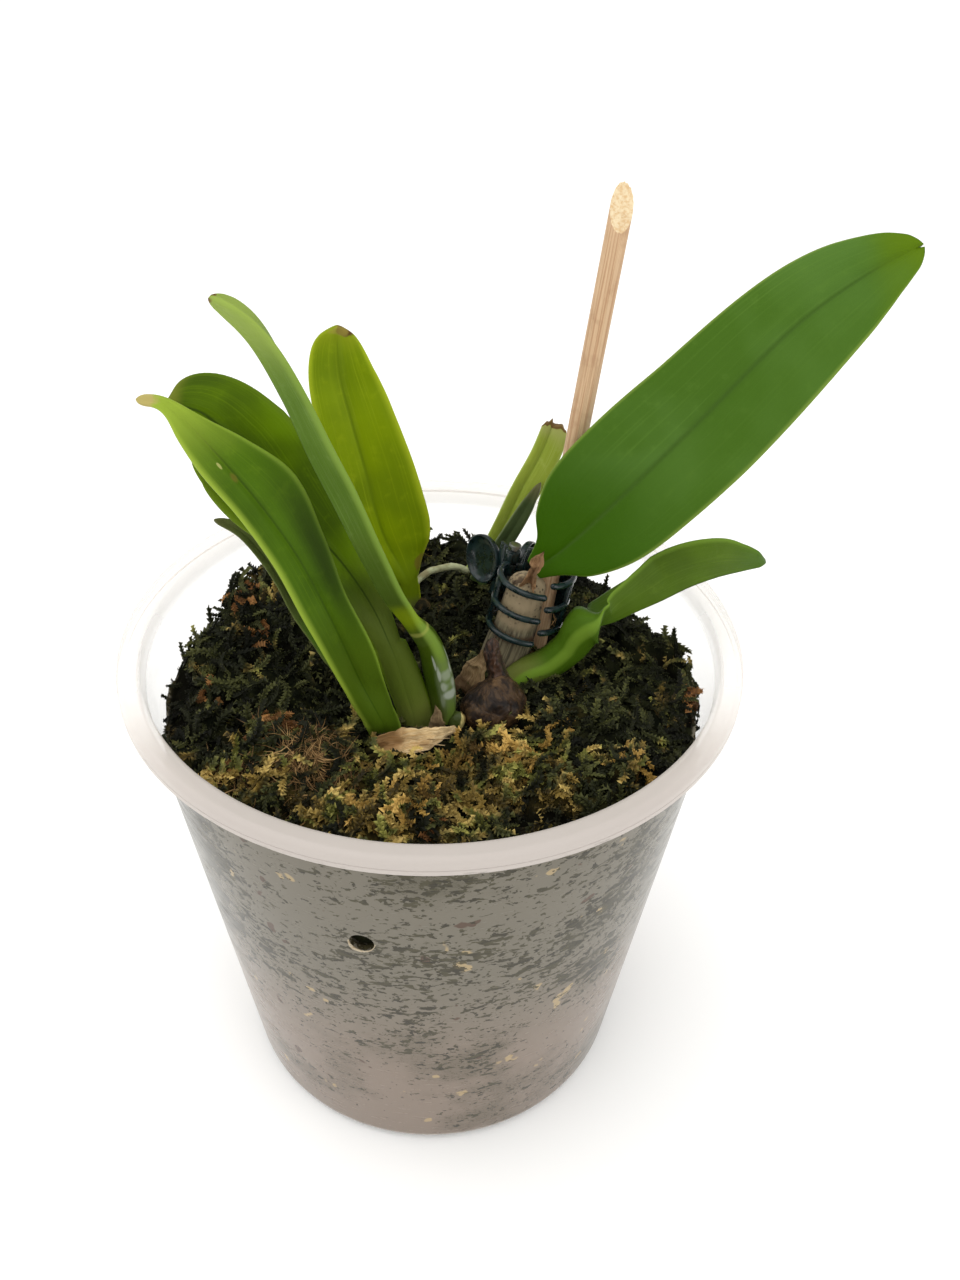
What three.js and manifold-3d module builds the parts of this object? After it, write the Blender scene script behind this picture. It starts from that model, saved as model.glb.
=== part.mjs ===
// A young cattleya orchid in a clear tapered pot, built as a three.js scene in millimetres.
// +Z is up, the origin is the centre of the pot's underside and -Y is the side that is looked at.
import * as THREE from "three";
import { mergeVertices } from "three/addons/utils/BufferGeometryUtils.js";
import Module from "manifold-3d";

const wasm = await Module();
wasm.setup();

// ---- driving dimensions -------------------------------------------------------------------
const GAP = 0.3; // air between two pieces that touch

const POT = {
  baseRadius: 42.3,
  topRadius: 54.3,
  wall: 1,
  floor: 1.4,
  footCorner: 3,
  wallTop: 102.6,
  lipSeat: 103.6,
  lipTop: 106.2,
  lipOuter: 58.1,
  lipSkirt: 102.9,
  lipRound: 1.4,
  segments: 48,
};
const HOLES = { radius: 2.2, height: 76.9, firstAngle: -104, count: 3 };
const DRAINS = { radius: 3, ring: 24, count: 4 };

const MOSS = {
  level: 93,
  wallContact: 84,
  around: 44,
  rings: 8,
  clumps: 46,
  seed: 7,
};
// Humps of the moss top: [x, y, height, radius]
const HUMPS = [
  [-27, 27, 10.5, 17],
  [-41, 10, 3, 9],
  [0, 42, 5, 14],
  [28, 28, 6, 11],
  [44, 8, 3, 9],
  [-24, -24, 3.5, 9],
  [-6, -33, 3.5, 10],
  [15, -31, 3, 9],
  [32, -22, 2.5, 9],
];
// How far the moss top stands in from the pot wall: [angle in degrees, distance]
const MOSS_SHRINK = [
  [-180, 0.5],
  [-150, 0.4],
  [-30, 0.4],
  [0, 1],
  [10, 2.5],
  [30, 6.5],
  [60, 8],
  [95, 7],
  [130, 6.5],
  [157, 6.5],
  [168, 4],
  [180, 0.5],
];

// A round bamboo stick, its top cut off slanting.
const STAKE = {
  foot: [9.8, -1.4, 8],
  top: [31.1, 17.8, 178.7],
  radius: 2,
  cut: { back: 56, side: 8 },
};

// The clip's frame: its origin is the middle of its ring and its +Z follows the old cane.
const CLIP = {
  centre: [18.9, 7.6, 108],
  axis: [0.195, 0.09, 0.977],
  ring: 6.9,
  wire: 1.15,
  back: 0.9,
  pin: 0.6,
  hinge: { angle: 120, radius: 8.2, knuckle: 1.5, half: 6.6 },
  pads: { radius: 5, reach: 2.4, level: 0 },
};
const JAW_LEFT = {
  levels: [3.9, -1.3, -6.5],
  from: 136,
  to: 284,
  backEnd: 188,
  knuckles: [[4.7, 2.4], [-4.7, 2.4]],
  arm: 11.8,
  pad: 124,
  side: -1,
};
const JAW_RIGHT = {
  levels: [6.5, 1.3, -3.9],
  from: 104,
  to: -76,
  backEnd: -28,
  knuckles: [[2, 2.4], [-2, 2.4]],
  arm: 6.4,
  pad: 64,
  side: 1,
};
const SPRING = { radius: 0.95, wire: 0.25, core: 0.8, levels: [-0.25, 0.25] };
// The thumb pad's dished outline: [share of its radius, height].
const DISH = [[0, 0.2], [0.82, 0.4], [0.92, 1.2], [1, 1.1], [0.98, 0], [0.84, -0.4], [0, -0.5]];

// Directions that a blade's upper face looks along: at its foot, its middle and its tip.
const FRONT = [[0, -1, 0], [0, -1, 0], [0, -1, 0]];
// Places across a blade where it has a row of corners, from margin to margin.
const COLUMNS = [-1, -0.55, 0, 0.55, 1];

// The creeping stem that carries every growth, just under the moss, and its roots.
const RHIZOME = {
  runs: [
    {
      path: [[-8.5, -15, 90.5], [-2, -11.5, 89.5], [5, -6, 89.5], [11, 1, 90], [13.5, 7, 90.5]],
      radius: 2.6,
    },
    { path: [[11.5, 2, 90], [9, 10, 91], [4, 18, 94], [-4, 22, 97]], radius: 2.2 },
    { path: [[4, 18, 94], [7, 25, 92.5], [7.5, 31.5, 91]], radius: 2 },
    { path: [[-8.5, -15, 90.5], [-12, -9, 90.5], [-16, -5, 92]], radius: 1.8 },
  ],
  roots: [
    [[-7, -14, 89.5], [-12, -22, 78], [-24, -31, 60], [-28, -29, 38], [-20, -24, 18]],
    [[-1, -10, 89], [-4, -20, 74], [2, -36, 58], [12, -38, 40], [14, -33, 22]],
    [[9, -2, 89], [18, -12, 76], [34, -22, 62], [38, -14, 42], [30, -6, 20]],
    [[6, 14, 92], [16, 22, 76], [30, 28, 58], [26, 34, 36], [12, 33, 18]],
    [[-1, 20, 94], [-12, 28, 78], [-28, 30, 60], [-36, 16, 40], [-30, 6, 20]],
  ],
  rootRadii: [[0, 1.8], [1, 1.1]],
};

// Stems: radii are half widths along the path, [share of the length, radius]; flat is depth to width.
const STEMS = {
  a: {
    path: [[-8.5, -15, 91], [-9, -15.8, 95], [-10, -16.6, 99]],
    radii: [[0, 3], [1, 3.1]],
    flat: 0.75,
  },
  b: {
    path: [[-3.2, -12.2, 90], [-3.6, -11.5, 96], [-5.6, -10.5, 103], [-8, -9.6, 110]],
    radii: [[0, 3], [0.5, 3.4], [1, 3]],
    flat: 0.7,
  },
  c: {
    path: [[1.4, -10.6, 90], [1.6, -10.4, 97], [0.6, -10.6, 105], [-1.2, -11, 112]],
    radii: [[0, 2.3], [0.5, 2.9], [1, 2.1]],
    flat: 0.9,
  },
  d: {
    path: [[-4.6, 22, 97], [-5, 22, 103], [-5.3, 22, 107]],
    radii: [[0, 2.2], [1, 2]],
    flat: 0.8,
  },
  e: {
    path: [[-16, -5, 92], [-18, -4, 97], [-20, -3.4, 102]],
    radii: [[0, 1.9], [1, 1.7]],
    flat: 0.8,
  },
  h: {
    path: [[7, 31.4, 90], [7.8, 31.6, 94.5], [9.6, 31.8, 98.6]],
    radii: [[0, 2.3], [1, 2.2]],
    flat: 0.7,
  },
};

// The old cane that the clip holds, its round leaf scar, and the sheathed young growth beside it.
const CANE = {
  path: [[12.6, 5.4, 92], [15.2, 6, 98.8], [17.6, 6.8, 109], [18.5, 7.1, 113.6]],
  radii: [[0, 4], [0.25, 4.3], [0.8, 3.8], [1, 3.4]],
  rows: 7,
  sides: 12,
};
const SCAR = {
  centre: [16.9, 6.3, 111.9],
  radii: [2.1, 2, 2.1],
  tilt: 0,
  furrows: 4,
  depth: 0.03,
  seed: 9,
};
const SHEATH = {
  path: [[14.6, -0.6, 91.5], [17.4, 0.4, 94.6], [22.5, 1, 97], [26.4, 1, 101], [29.2, 1, 106]],
  radii: [[0, 2.8], [0.5, 3.2], [0.85, 3.2], [1, 2.9]],
  rows: 8,
  sides: 12,
};
const BULB = {
  centre: [11.6, -8.6, 94.5],
  radii: [6.2, 5.4, 5],
  tilt: -14,
  furrows: 7,
  depth: 0.05,
  seed: 3,
};
const NECK = {
  path: [[12.6, -7.6, 97], [12, -6.6, 101], [10.8, -5.6, 104.5], [11.2, -4.9, 107.5]],
  radii: [[0, 3.2], [0.35, 1.7], [0.75, 1.5], [1, 0.9]],
  sides: 8,
};
const BUD = {
  centre: [4.2, -12.2, 93.6],
  radii: [1.9, 1.6, 2.3],
  tilt: 20,
  furrows: 5,
  depth: 0.03,
  seed: 5,
};
const AERIAL_ROOT = {
  path: [[-4.6, 21, 101.5], [-0.5, 25, 102.4], [4.5, 27.4, 102], [8, 28.4, 100]],
  radii: [[0, 0.75], [1, 0.75]],
  sides: 6,
};

// Dry papery scales left by old growth.
const HUSKS = {
  front: {
    path: [[-12, -19.5, 94.2], [-6.5, -20.2, 95.6], [-1, -19.4, 95.4], [4.8, -16.6, 94.6]],
    facing: [[0, -0.75, 0.66], [0, -0.75, 0.66], [0, -0.6, 0.8]],
    outline: [[0, 1.4], [0.2, 2.9], [0.5, 2.6], [0.85, 1.2], [1, 0.7]],
    fold: 22,
  },
  bulb: {
    path: [[6.6, -4.2, 91.5], [7.2, -4.4, 96], [8.6, -4.2, 100], [10, -3.9, 103]],
    facing: [[-0.5, -0.85, 0.1], [-0.5, -0.8, 0.3], [-0.4, -0.8, 0.4]],
    outline: [[0, 2.4], [0.4, 2.9], [0.8, 1.9], [1, 0.8]],
    fold: 26,
  },
  stem: {
    path: [[2.6, -14, 91.6], [2.4, -14.2, 94.6], [1.6, -14, 98.4]],
    facing: FRONT,
    outline: [[0, 2.2], [0.5, 1.6], [1, 0.6]],
    fold: 24,
  },
  cane: {
    path: [[18.2, 4.6, 112.4], [18.6, 4, 115], [19.4, 3.8, 117.4], [20.3, 4.2, 120.2]],
    facing: [[-0.4, -0.9, 0.1], [-0.6, -0.8, 0.1], [-0.8, -0.5, 0.2]],
    outline: [[0, 2.1], [0.4, 1.7], [0.75, 1.5], [1, 0.6]],
    fold: 34,
  },
};
const HUSK_FORM = { thick: 0.8, edge: 0.7, rows: 7 };

// Leaves: outline rows are [share of the length, half width, other half width], fold is how far the
// two halves rise from the midrib in degrees.
const LEAVES = {
  a: {
    path: [
      [-10.1, -16.8, 99.4], [-12.8, -17, 106.8], [-17.4, -17, 121],
      [-22.8, -16.5, 134.6], [-31.7, -15, 148.6], [-41, -13, 158.3],
    ],
    facing: [[0.3, -0.9, 0.2], [0.25, -0.88, 0.4], [-0.1, -0.7, 0.7]],
    outline: [
      [0, 3], [0.2, 3.9, 4.8], [0.4, 4.5, 4.3], [0.55, 4.3, 5.6],
      [0.7, 4.1, 7.4], [0.82, 4.1, 5], [0.92, 3, 2], [1, 0.8],
    ],
    fold: [[0, 30], [0.4, 18], [1, 12]],
  },
  b: {
    path: [
      [-8, -9.5, 110], [-10.9, -7.5, 116.7], [-16.3, -5, 124.8], [-22.6, -3, 131.5],
      [-28.3, -1.5, 137.9], [-32.6, -0.6, 144.4], [-38.4, -0.7, 150.8], [-46.4, -2.5, 153.2],
    ],
    facing: [[0.2, -0.9, 0.3], [0.15, -0.85, 0.5], [-0.2, -0.6, 0.8]],
    outline: [
      [0, 2.8, 2.2], [0.2, 4.5, 3.4], [0.35, 6.2, 5.2], [0.5, 7.6, 7.4], [0.62, 8.8, 8.9],
      [0.72, 8.9, 8.8], [0.82, 7.4, 7.2], [0.9, 4.6, 5], [0.96, 2.2, 2.4], [1, 0.8],
    ],
    fold: 14,
    wave: 0.6,
  },
  c: {
    path: [
      [-1.4, -11, 111.8], [-7.2, -12, 120.7], [-11, -13, 130], [-14.7, -14, 140.6],
      [-18, -14.5, 149.8], [-21.6, -15, 160.8], [-25.9, -15, 169.6], [-31.3, -15, 175.4],
    ],
    facing: [[0.7, 0.6, 0.3], [0.8, 0.5, 0.33], [0.85, 0.2, 0.4]],
    outline: [
      [0, 2.3], [0.1, 4.3], [0.25, 5.6], [0.5, 5.8], [0.7, 5.7], [0.88, 5], [0.95, 4], [1, 1.2],
    ],
    fold: 25,
  },
  d: {
    path: [
      [-6.8, 22, 107.6], [-10.3, 22, 114.1], [-13.1, 22, 128.7],
      [-15.3, 22, 139.1], [-16.9, 22, 148], [-16.8, 22, 156.6],
    ],
    facing: [[0.2, -0.95, 0.2], [0.1, -0.95, 0.3], [0.05, -0.85, 0.5]],
    outline: [
      [0, 2.4], [0.04, 4, 5.4], [0.1, 5.6, 8.6], [0.2, 7, 9.9], [0.35, 7.6, 10],
      [0.55, 7, 9], [0.75, 6.3, 7.6], [0.88, 5, 5.9], [0.95, 3.3, 3.7], [1, 0.9],
    ],
    fold: 12,
    tone: "leafPale",
  },
  e: {
    path: [
      [-20.3, -2.6, 102.7], [-25.1, 0, 110.1], [-28, 1, 116.1],
      [-30.9, 1.7, 121.5], [-34.4, 2, 126.2], [-38.7, 2, 128.8],
    ],
    facing: [[0.3, -0.8, 0.4], [0.3, -0.8, 0.5], [0, -0.7, 0.7]],
    outline: [[0, 2], [0.25, 1.6, 3.8], [0.5, 1.1, 3.6], [0.7, 1.1, 2.8], [0.85, 1, 1.9], [1, 0.6]],
    fold: 20,
    rows: 10,
  },
  f: {
    path: [
      [19.3, 7.2, 114.9], [24, 6.8, 119], [31.6, 5.9, 128.1], [44.6, 3.7, 145.9],
      [59.2, 0.3, 166.9], [68.2, -1.4, 175.5], [73.2, -2.7, 179.2],
    ],
    facing: [[-0.25, -0.93, 0.27], [-0.35, -0.85, 0.38], [-0.5, -0.7, 0.5]],
    outline: [
      [0, 2.2], [0.05, 4.9, 4], [0.1, 9, 7.4], [0.2, 12.6, 10.6], [0.35, 13, 11.8],
      [0.55, 11.3, 12], [0.75, 9.3, 11], [0.87, 7.4, 8.7], [0.95, 4.6, 5.3], [1, 1.6, 2],
    ],
    fold: 14,
    notch: 1,
    rows: 18,
  },
  g: {
    path: [
      [29.9, 1.6, 106], [34.3, 2, 107.2], [38.2, 2, 109.5], [42.6, 2, 112.1],
      [47.7, 2, 115.4], [52.5, 2, 117.5], [57.4, 2, 118.9], [61.6, 2, 120],
    ],
    facing: [[-0.5, 0.3, 0.7], [-0.38, 0.7, 0.62], [-0.3, 0.4, 0.8]],
    outline: [
      [0, 3], [0.1, 5.2, 5], [0.25, 7.4, 7], [0.45, 8.8], [0.65, 9.4, 9.8],
      [0.8, 8.6, 9.4], [0.9, 6.4, 7], [0.97, 3.2, 3.6], [1, 1],
    ],
    fold: [[0, 55], [0.5, 48], [1, 36]],
  },
  h: {
    path: [
      [10.2, 32, 97.6], [11.7, 32, 101.7], [14.8, 32, 108.9],
      [18.4, 32, 118.3], [21.7, 32, 125.9], [24.1, 32, 133.4],
    ],
    facing: [[-0.2, -0.95, 0.2], [-0.2, -0.95, 0.2], [-0.2, -0.95, 0.2]],
    outline: [[0, 2.2, 2.6], [0.3, 2.2, 3.2], [0.5, 2.2, 3.9], [0.75, 2.1, 4.1], [0.93, 2, 3.9], [1, 2, 3.1]],
    fold: 14,
    rows: 10,
    tone: "leafPale",
  },
  h2: {
    path: [[9.7, 29, 97.2], [13.3, 28.6, 104], [18, 28.6, 113.2], [21.8, 28.6, 121.4]],
    facing: [[-0.3, -0.9, 0.2], [-0.3, -0.9, 0.2], [-0.3, -0.9, 0.2]],
    outline: [[0, 2], [0.4, 1.9], [0.75, 1.6], [0.92, 0.9], [1, 0.5]],
    fold: 16,
    rows: 7,
  },
};

// ---- vectors and curves -------------------------------------------------------------------
const point = (p) => new THREE.Vector3(...p);
const curveThrough = (points) =>
  new THREE.CatmullRomCurve3(points.map(point), false, "centripetal");
const spread = (count) =>
  Array.from({ length: count + 1 }, (_, i) => i / count);

// A smooth value at s from stations [[s, left, right], ...]; a row with one value has it on both sides.
function along(rows, s, side = 1) {
  const stations = rows.map((row) => [row[0], row[side] ?? row[1]]);
  const last = stations.length - 1;
  if (s <= stations[0][0]) return stations[0][1];
  if (s >= stations[last][0]) return stations[last][1];
  const i = stations.findIndex(([at]) => at > s) - 1;
  const slope = (a, b) =>
    (stations[b][1] - stations[a][1]) / (stations[b][0] - stations[a][0]);
  const [[s0, v0], [s1, v1]] = [stations[i], stations[i + 1]];
  const m0 = i > 0 ? slope(i - 1, i + 1) : slope(i, i + 1);
  const m1 = i + 1 < last ? slope(i, i + 2) : slope(i, i + 1);
  const h = s1 - s0;
  const t = (s - s0) / h;
  return (
    (2 * t ** 3 - 3 * t ** 2 + 1) * v0 +
    (t ** 3 - 2 * t ** 2 + t) * h * m0 +
    (3 * t ** 2 - 2 * t ** 3) * v1 +
    (t ** 3 - t ** 2) * h * m1
  );
}

// Facing directions are three vectors, at the start, the middle and the end.
function facingAt(facing, s) {
  const [from, to] = s < 0.5 ? [facing[0], facing[1]] : [facing[1], facing[2]];
  return point(from)
    .normalize()
    .lerp(point(to).normalize(), s < 0.5 ? 2 * s : 2 * s - 1);
}

// Repeatable random numbers from 0 to 1.
function randomFrom(seed) {
  let state = seed;
  return () => {
    state = (state * 16807) % 2147483647;
    return state / 2147483647;
  };
}

// ---- solids -------------------------------------------------------------------------------
function solidOf(geometry) {
  const bare = geometry.clone();
  bare.deleteAttribute("normal");
  bare.deleteAttribute("uv");
  const merged = mergeVertices(bare, 1e-4);
  return new wasm.Manifold(
    new wasm.Mesh({
      numProp: 3,
      vertProperties: merged.attributes.position.array,
      triVerts: new Uint32Array(merged.index.array),
    }),
  );
}

function geometryOf(solid) {
  const mesh = solid.getMesh();
  return new THREE.BufferGeometry()
    .setAttribute("position", new THREE.BufferAttribute(mesh.vertProperties, 3))
    .setIndex(new THREE.BufferAttribute(mesh.triVerts, 1));
}

const joined = (solids) => solids.reduce((all, next) => all.add(next));
const largest = (solid) =>
  solid.decompose().reduce((a, b) => (a.volume() > b.volume() ? a : b));

// Sweeps a closed section along a curve. section(s) gives [across, up] offsets, of which number j
// and the one as far from the end face each other, so that the ends close with a strip between them.
function sweep(curve, stations, facing, section) {
  const rings = stations.map((s) => {
    const centre = curve.getPointAt(s);
    const forward = curve.getTangentAt(s);
    const up = facingAt(facing, s);
    up.addScaledVector(forward, -up.dot(forward)).normalize();
    const across = new THREE.Vector3().crossVectors(up, forward);
    return section(s).map(([a, u, f = 0]) =>
      centre
        .clone()
        .addScaledVector(across, a)
        .addScaledVector(up, u)
        .addScaledVector(forward, f),
    );
  });
  const count = rings[0].length;
  const half = count / 2;
  const at = (i, j) => i * count + (j % count);
  const index = [];
  for (let i = 0; i + 1 < rings.length; i++) {
    for (let j = 0; j < count; j++) {
      const [a, b, c, d] = [at(i, j), at(i, j + 1), at(i + 1, j + 1), at(i + 1, j)];
      // Both faces of a blade are split the same way, so that a thin waved one never crosses itself.
      if (j < half) index.push(a, b, c, a, c, d);
      else index.push(a, b, d, b, c, d);
    }
  }
  const end = rings.length - 1;
  for (let j = 0; j + 1 < half; j++) {
    const across = [j, j + 1, count - 2 - j, count - 1 - j];
    const [a, b, c, d] = across.map((k) => at(0, k));
    index.push(a, c, b, a, d, c);
    const [e, f, g, h] = across.map((k) => at(end, k));
    index.push(e, f, g, e, g, h);
  }
  const geometry = new THREE.BufferGeometry().setFromPoints(rings.flat());
  geometry.setIndex(index);
  return outwards(geometry);
}

// Turns a closed geometry's faces outwards.
function outwards(geometry) {
  const corners = geometry.attributes.position;
  const index = geometry.index.array;
  const [a, b, c] = [0, 1, 2].map(() => new THREE.Vector3());
  let volume = 0;
  for (let i = 0; i < index.length; i += 3) {
    [a, b, c].forEach((v, k) => v.fromBufferAttribute(corners, index[i + k]));
    volume += a.dot(b.cross(c));
  }
  if (volume < 0) {
    for (let i = 0; i < index.length; i += 3) {
      [index[i + 1], index[i + 2]] = [index[i + 2], index[i + 1]];
    }
  }
  return geometry;
}

// A round rod of one radius along a curve.
function rod(curve, radius, steps, sides = 8) {
  const section = new THREE.Shape(
    Array.from({ length: sides }, (_, i) => {
      const angle = (2 * Math.PI * i) / sides;
      return new THREE.Vector2(
        radius * Math.cos(angle),
        radius * Math.sin(angle),
      );
    }),
  );
  return new THREE.ExtrudeGeometry(section, { steps, extrudePath: curve });
}

// A body of revolution about Z from [radius, height] points that start and end on the axis or close.
function turned(profile, segments) {
  const outline = profile.map(([r, z]) => new THREE.Vector2(r, z));
  return outwards(
    mergeVertices(
      new THREE.LatheGeometry(outline, segments)
        .rotateX(Math.PI / 2)
        .deleteAttribute("normal")
        .deleteAttribute("uv"),
      1e-4,
    ),
  );
}

// ---- pot ----------------------------------------------------------------------------------
// The pot's outer radius at a height: its wall is a plain cone above the rounded foot.
const potRadius = (z) => {
  const share = (z - POT.footCorner) / (POT.wallTop - POT.footCorner);
  return POT.baseRadius + (POT.topRadius - POT.baseRadius) * share;
};

// Points of a quarter circle from one direction to another, in degrees.
const arc = (r, z, radius, from, to, steps) =>
  spread(steps).map((t) => {
    const angle = THREE.MathUtils.degToRad(from + (to - from) * t);
    return [r + radius * Math.cos(angle), z + radius * Math.sin(angle)];
  });

function potSolid() {
  const { baseRadius, topRadius, wall, floor, footCorner: corner } = POT;
  const { wallTop, lipSeat, lipTop, lipOuter, lipSkirt, lipRound } = POT;
  const outside = [
    [0, 0],
    ...arc(baseRadius - corner, corner, corner, -90, -4, 3),
    [topRadius, wallTop],
    [topRadius + 0.5, lipSeat],
    [lipOuter - 1, lipSeat],
    [lipOuter - 0.8, lipSkirt],
    [lipOuter, lipSkirt],
    ...arc(lipOuter - lipRound, lipTop - lipRound, lipRound, 0, 90, 3),
    ...arc(topRadius + 0.9, lipTop - lipRound, lipRound, 90, 170, 3),
  ];
  const inside = [
    [topRadius - wall, wallTop - 0.6],
    ...arc(baseRadius - corner, corner + floor - wall, corner - wall, -4, -90, 2),
    [0, floor],
  ];
  const hole = (radius, length, angle, distance, height, tilt) =>
    solidOf(
      new THREE.CylinderGeometry(radius, radius, length, 12)
        .rotateX(tilt)
        .translate(0, distance, height)
        .rotateZ(THREE.MathUtils.degToRad(angle - 90)),
    );
  const cuts = [
    ...spread(HOLES.count).slice(1).map((t) =>
      hole(HOLES.radius, 12, HOLES.firstAngle + 360 * t, potRadius(HOLES.height), HOLES.height, 0),
    ),
    ...spread(DRAINS.count).slice(1).map((t) =>
      hole(DRAINS.radius, 12, 360 * t, DRAINS.ring, 0, Math.PI / 2),
    ),
  ];
  return solidOf(turned([...outside, ...inside], POT.segments)).subtract(joined(cuts));
}

// ---- blades, stems and lumps ----------------------------------------------------------------
const valueAt = (value, s) => (Array.isArray(value) ? along(value, s) : value);

// Stations closer together at the two ends of a blade, where its outline turns.
const bladeStations = (count) =>
  spread(count).map((t) => t - (0.75 * Math.sin(2 * Math.PI * t)) / (2 * Math.PI));

// A leaf blade: two halves that rise from the midrib by the fold, thinning to the margins.
function blade(leaf, grow = 0) {
  const { path, facing, outline, rows = 14, thick = 1.6, edge = 0.8 } = leaf;
  const { fold = 12, wave = 0, waves = 1.5, phase = 0, notch = 0 } = leaf;
  const section = (s) => {
    const halves = [along(outline, s, 1) + grow, along(outline, s, 2) + grow];
    const angle = THREE.MathUtils.degToRad(valueAt(fold, s));
    const ahead = s > 0.9 ? (s - 0.9) * 10 * notch : 0;
    const face = (side) =>
      COLUMNS.map((u) => {
        const half = halves[u > 0 ? 0 : 1];
        const ripple =
          valueAt(wave, s) * u * Math.abs(u) * Math.sin(2 * Math.PI * waves * s + phase);
        const body = edge + (thick - edge) * (1 - u * u) + 2 * grow;
        return [
          half * u * Math.cos(angle),
          half * Math.abs(u) * Math.sin(angle) + ripple + (side * body) / 2,
          ahead * Math.abs(u),
        ];
      });
    return [...face(1), ...face(-1).reverse()];
  };
  return solidOf(sweep(curveThrough(path), bladeStations(rows), facing, section));
}

// A stem: an oval rod whose half width and half depth follow its length.
function stem({ path, radii, flat = 1, facing = FRONT, rows = 7, sides = 10 }, grow = 0) {
  const section = (s) => {
    const radius = along(radii, s);
    return Array.from({ length: sides }, (_, j) => {
      const angle = (2 * Math.PI * (j + 0.5)) / sides;
      return [
        (radius + grow) * Math.cos(angle),
        (radius * valueAt(flat, s) + grow) * Math.sin(angle),
      ];
    });
  };
  return solidOf(sweep(curveThrough(path), spread(rows), facing, section));
}

// An uneven ball, with furrows that run from pole to pole.
function lump({ centre, radii, tilt, furrows, depth, seed }, grow = 0) {
  const random = randomFrom(seed);
  const phase = 2 * Math.PI * random();
  const geometry = new THREE.IcosahedronGeometry(1, 2);
  const corners = geometry.attributes.position;
  const v = new THREE.Vector3();
  for (let i = 0; i < corners.count; i++) {
    v.fromBufferAttribute(corners, i);
    const turn = Math.atan2(v.y, v.x);
    const flank = Math.sqrt(Math.max(0, 1 - v.z * v.z));
    const size = 1 + depth * flank * Math.sin(furrows * turn + phase + 2 * v.z);
    corners.setXYZ(i, ...v.multiplyScalar(size).toArray());
  }
  geometry
    .scale(...radii.map((r) => r + grow))
    .rotateY(THREE.MathUtils.degToRad(tilt))
    .translate(...centre);
  return solidOf(geometry);
}

// ---- moss -----------------------------------------------------------------------------------
function mossSolid() {
  const { level, wallContact, around, rings, clumps, seed } = MOSS;
  const random = randomFrom(seed);
  const bumps = [
    ...HUMPS,
    ...Array.from({ length: clumps }, () => {
      const [angle, r] = [2 * Math.PI * random(), 50 * Math.sqrt(random())];
      return [r * Math.cos(angle), r * Math.sin(angle), 2.6 * random() - 1, 4 + 4 * random()];
    }),
  ];
  const heightAt = (x, y) =>
    bumps.reduce(
      (z, [bx, by, rise, radius]) =>
        z + rise * Math.exp(-((x - bx) ** 2 + (y - by) ** 2) / radius ** 2),
      level,
    );
  const wallAt = (z) => potRadius(z) - POT.wall - GAP;
  const corner = POT.footCorner + POT.floor;
  const foot = [
    [wallAt(wallContact), wallContact],
    [wallAt(50), 50],
    [wallAt(corner), corner],
    [wallAt(corner) - POT.footCorner, POT.floor + GAP],
  ];
  const columns = Array.from({ length: around }, (_, i) => {
    const angle = (2 * Math.PI * i) / around - Math.PI;
    const edge = wallAt(level) - along(MOSS_SHRINK, THREE.MathUtils.radToDeg(angle));
    const at = (r, z) => new THREE.Vector3(r * Math.cos(angle), r * Math.sin(angle), z);
    const top = spread(rings).slice(1).map((t) => {
      const r = edge * t;
      const fall = 2.5 * Math.max(0, t - 0.86) * 14 * Math.max(0, t - 0.86);
      return at(r, heightAt(r * Math.cos(angle), r * Math.sin(angle)) - fall);
    });
    const flank = at(edge + 0.7 * (wallAt(wallContact) - edge), wallContact + 3.5);
    return [...top, flank, ...foot.map(([r, z]) => at(r, z))];
  });
  const depth = columns[0].length;
  const corners = [
    ...columns.flat(),
    new THREE.Vector3(0, 0, heightAt(0, 0)),
    new THREE.Vector3(0, 0, POT.floor + GAP),
  ];
  const [crown, base] = [corners.length - 2, corners.length - 1];
  const index = [];
  for (let i = 0; i < around; i++) {
    const [here, next] = [i * depth, ((i + 1) % around) * depth];
    index.push(crown, here, next, base, next + depth - 1, here + depth - 1);
    for (let j = 0; j + 1 < depth; j++) {
      index.push(here + j, here + j + 1, next + j + 1, here + j, next + j + 1, next + j);
    }
  }
  const geometry = new THREE.BufferGeometry().setFromPoints(corners);
  geometry.setIndex(index);
  return solidOf(outwards(geometry));
}

// ---- stake and clip ---------------------------------------------------------------------------
function stakeSolid(grow = 0) {
  const { foot, top, radius, cut } = STAKE;
  const line = new THREE.LineCurve3(point(foot), point(top).lerp(point(foot), -0.05));
  const knife = new THREE.BoxGeometry(30, 30, 20)
    .translate(0, 0, 10)
    .rotateX(THREE.MathUtils.degToRad(cut.back))
    .rotateY(THREE.MathUtils.degToRad(cut.side))
    .translate(...top);
  return solidOf(rod(line, radius + grow, 1, 12)).subtract(solidOf(knife));
}

// A point of the clip's ring, at an angle from its +X and at a level along its axis.
const ringPoint = (angle, level, radius = CLIP.ring) => {
  const turn = THREE.MathUtils.degToRad(angle);
  return [radius * Math.cos(turn), radius * Math.sin(turn), level];
};

// A round bar along the clip's hinge line.
function hingeBar(radius, level, length) {
  const [x, y] = ringPoint(CLIP.hinge.angle, 0, CLIP.hinge.radius);
  return solidOf(
    new THREE.CylinderGeometry(radius, radius, length, 12).rotateX(Math.PI / 2).translate(x, y, level),
  );
}

// A flat bar from the hinge line to a point of the clip's frame, cut to a height along the axis.
function lug([toX, toY], level, height) {
  const [x, y] = ringPoint(CLIP.hinge.angle, 0, CLIP.hinge.radius);
  const length = Math.hypot(toX - x, toY - y);
  return solidOf(
    new THREE.BoxGeometry(length, CLIP.back, height)
      .translate(length / 2, 0, level)
      .rotateZ(Math.atan2(toY - y, toX - x))
      .translate(x, y, 0),
  );
}

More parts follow.
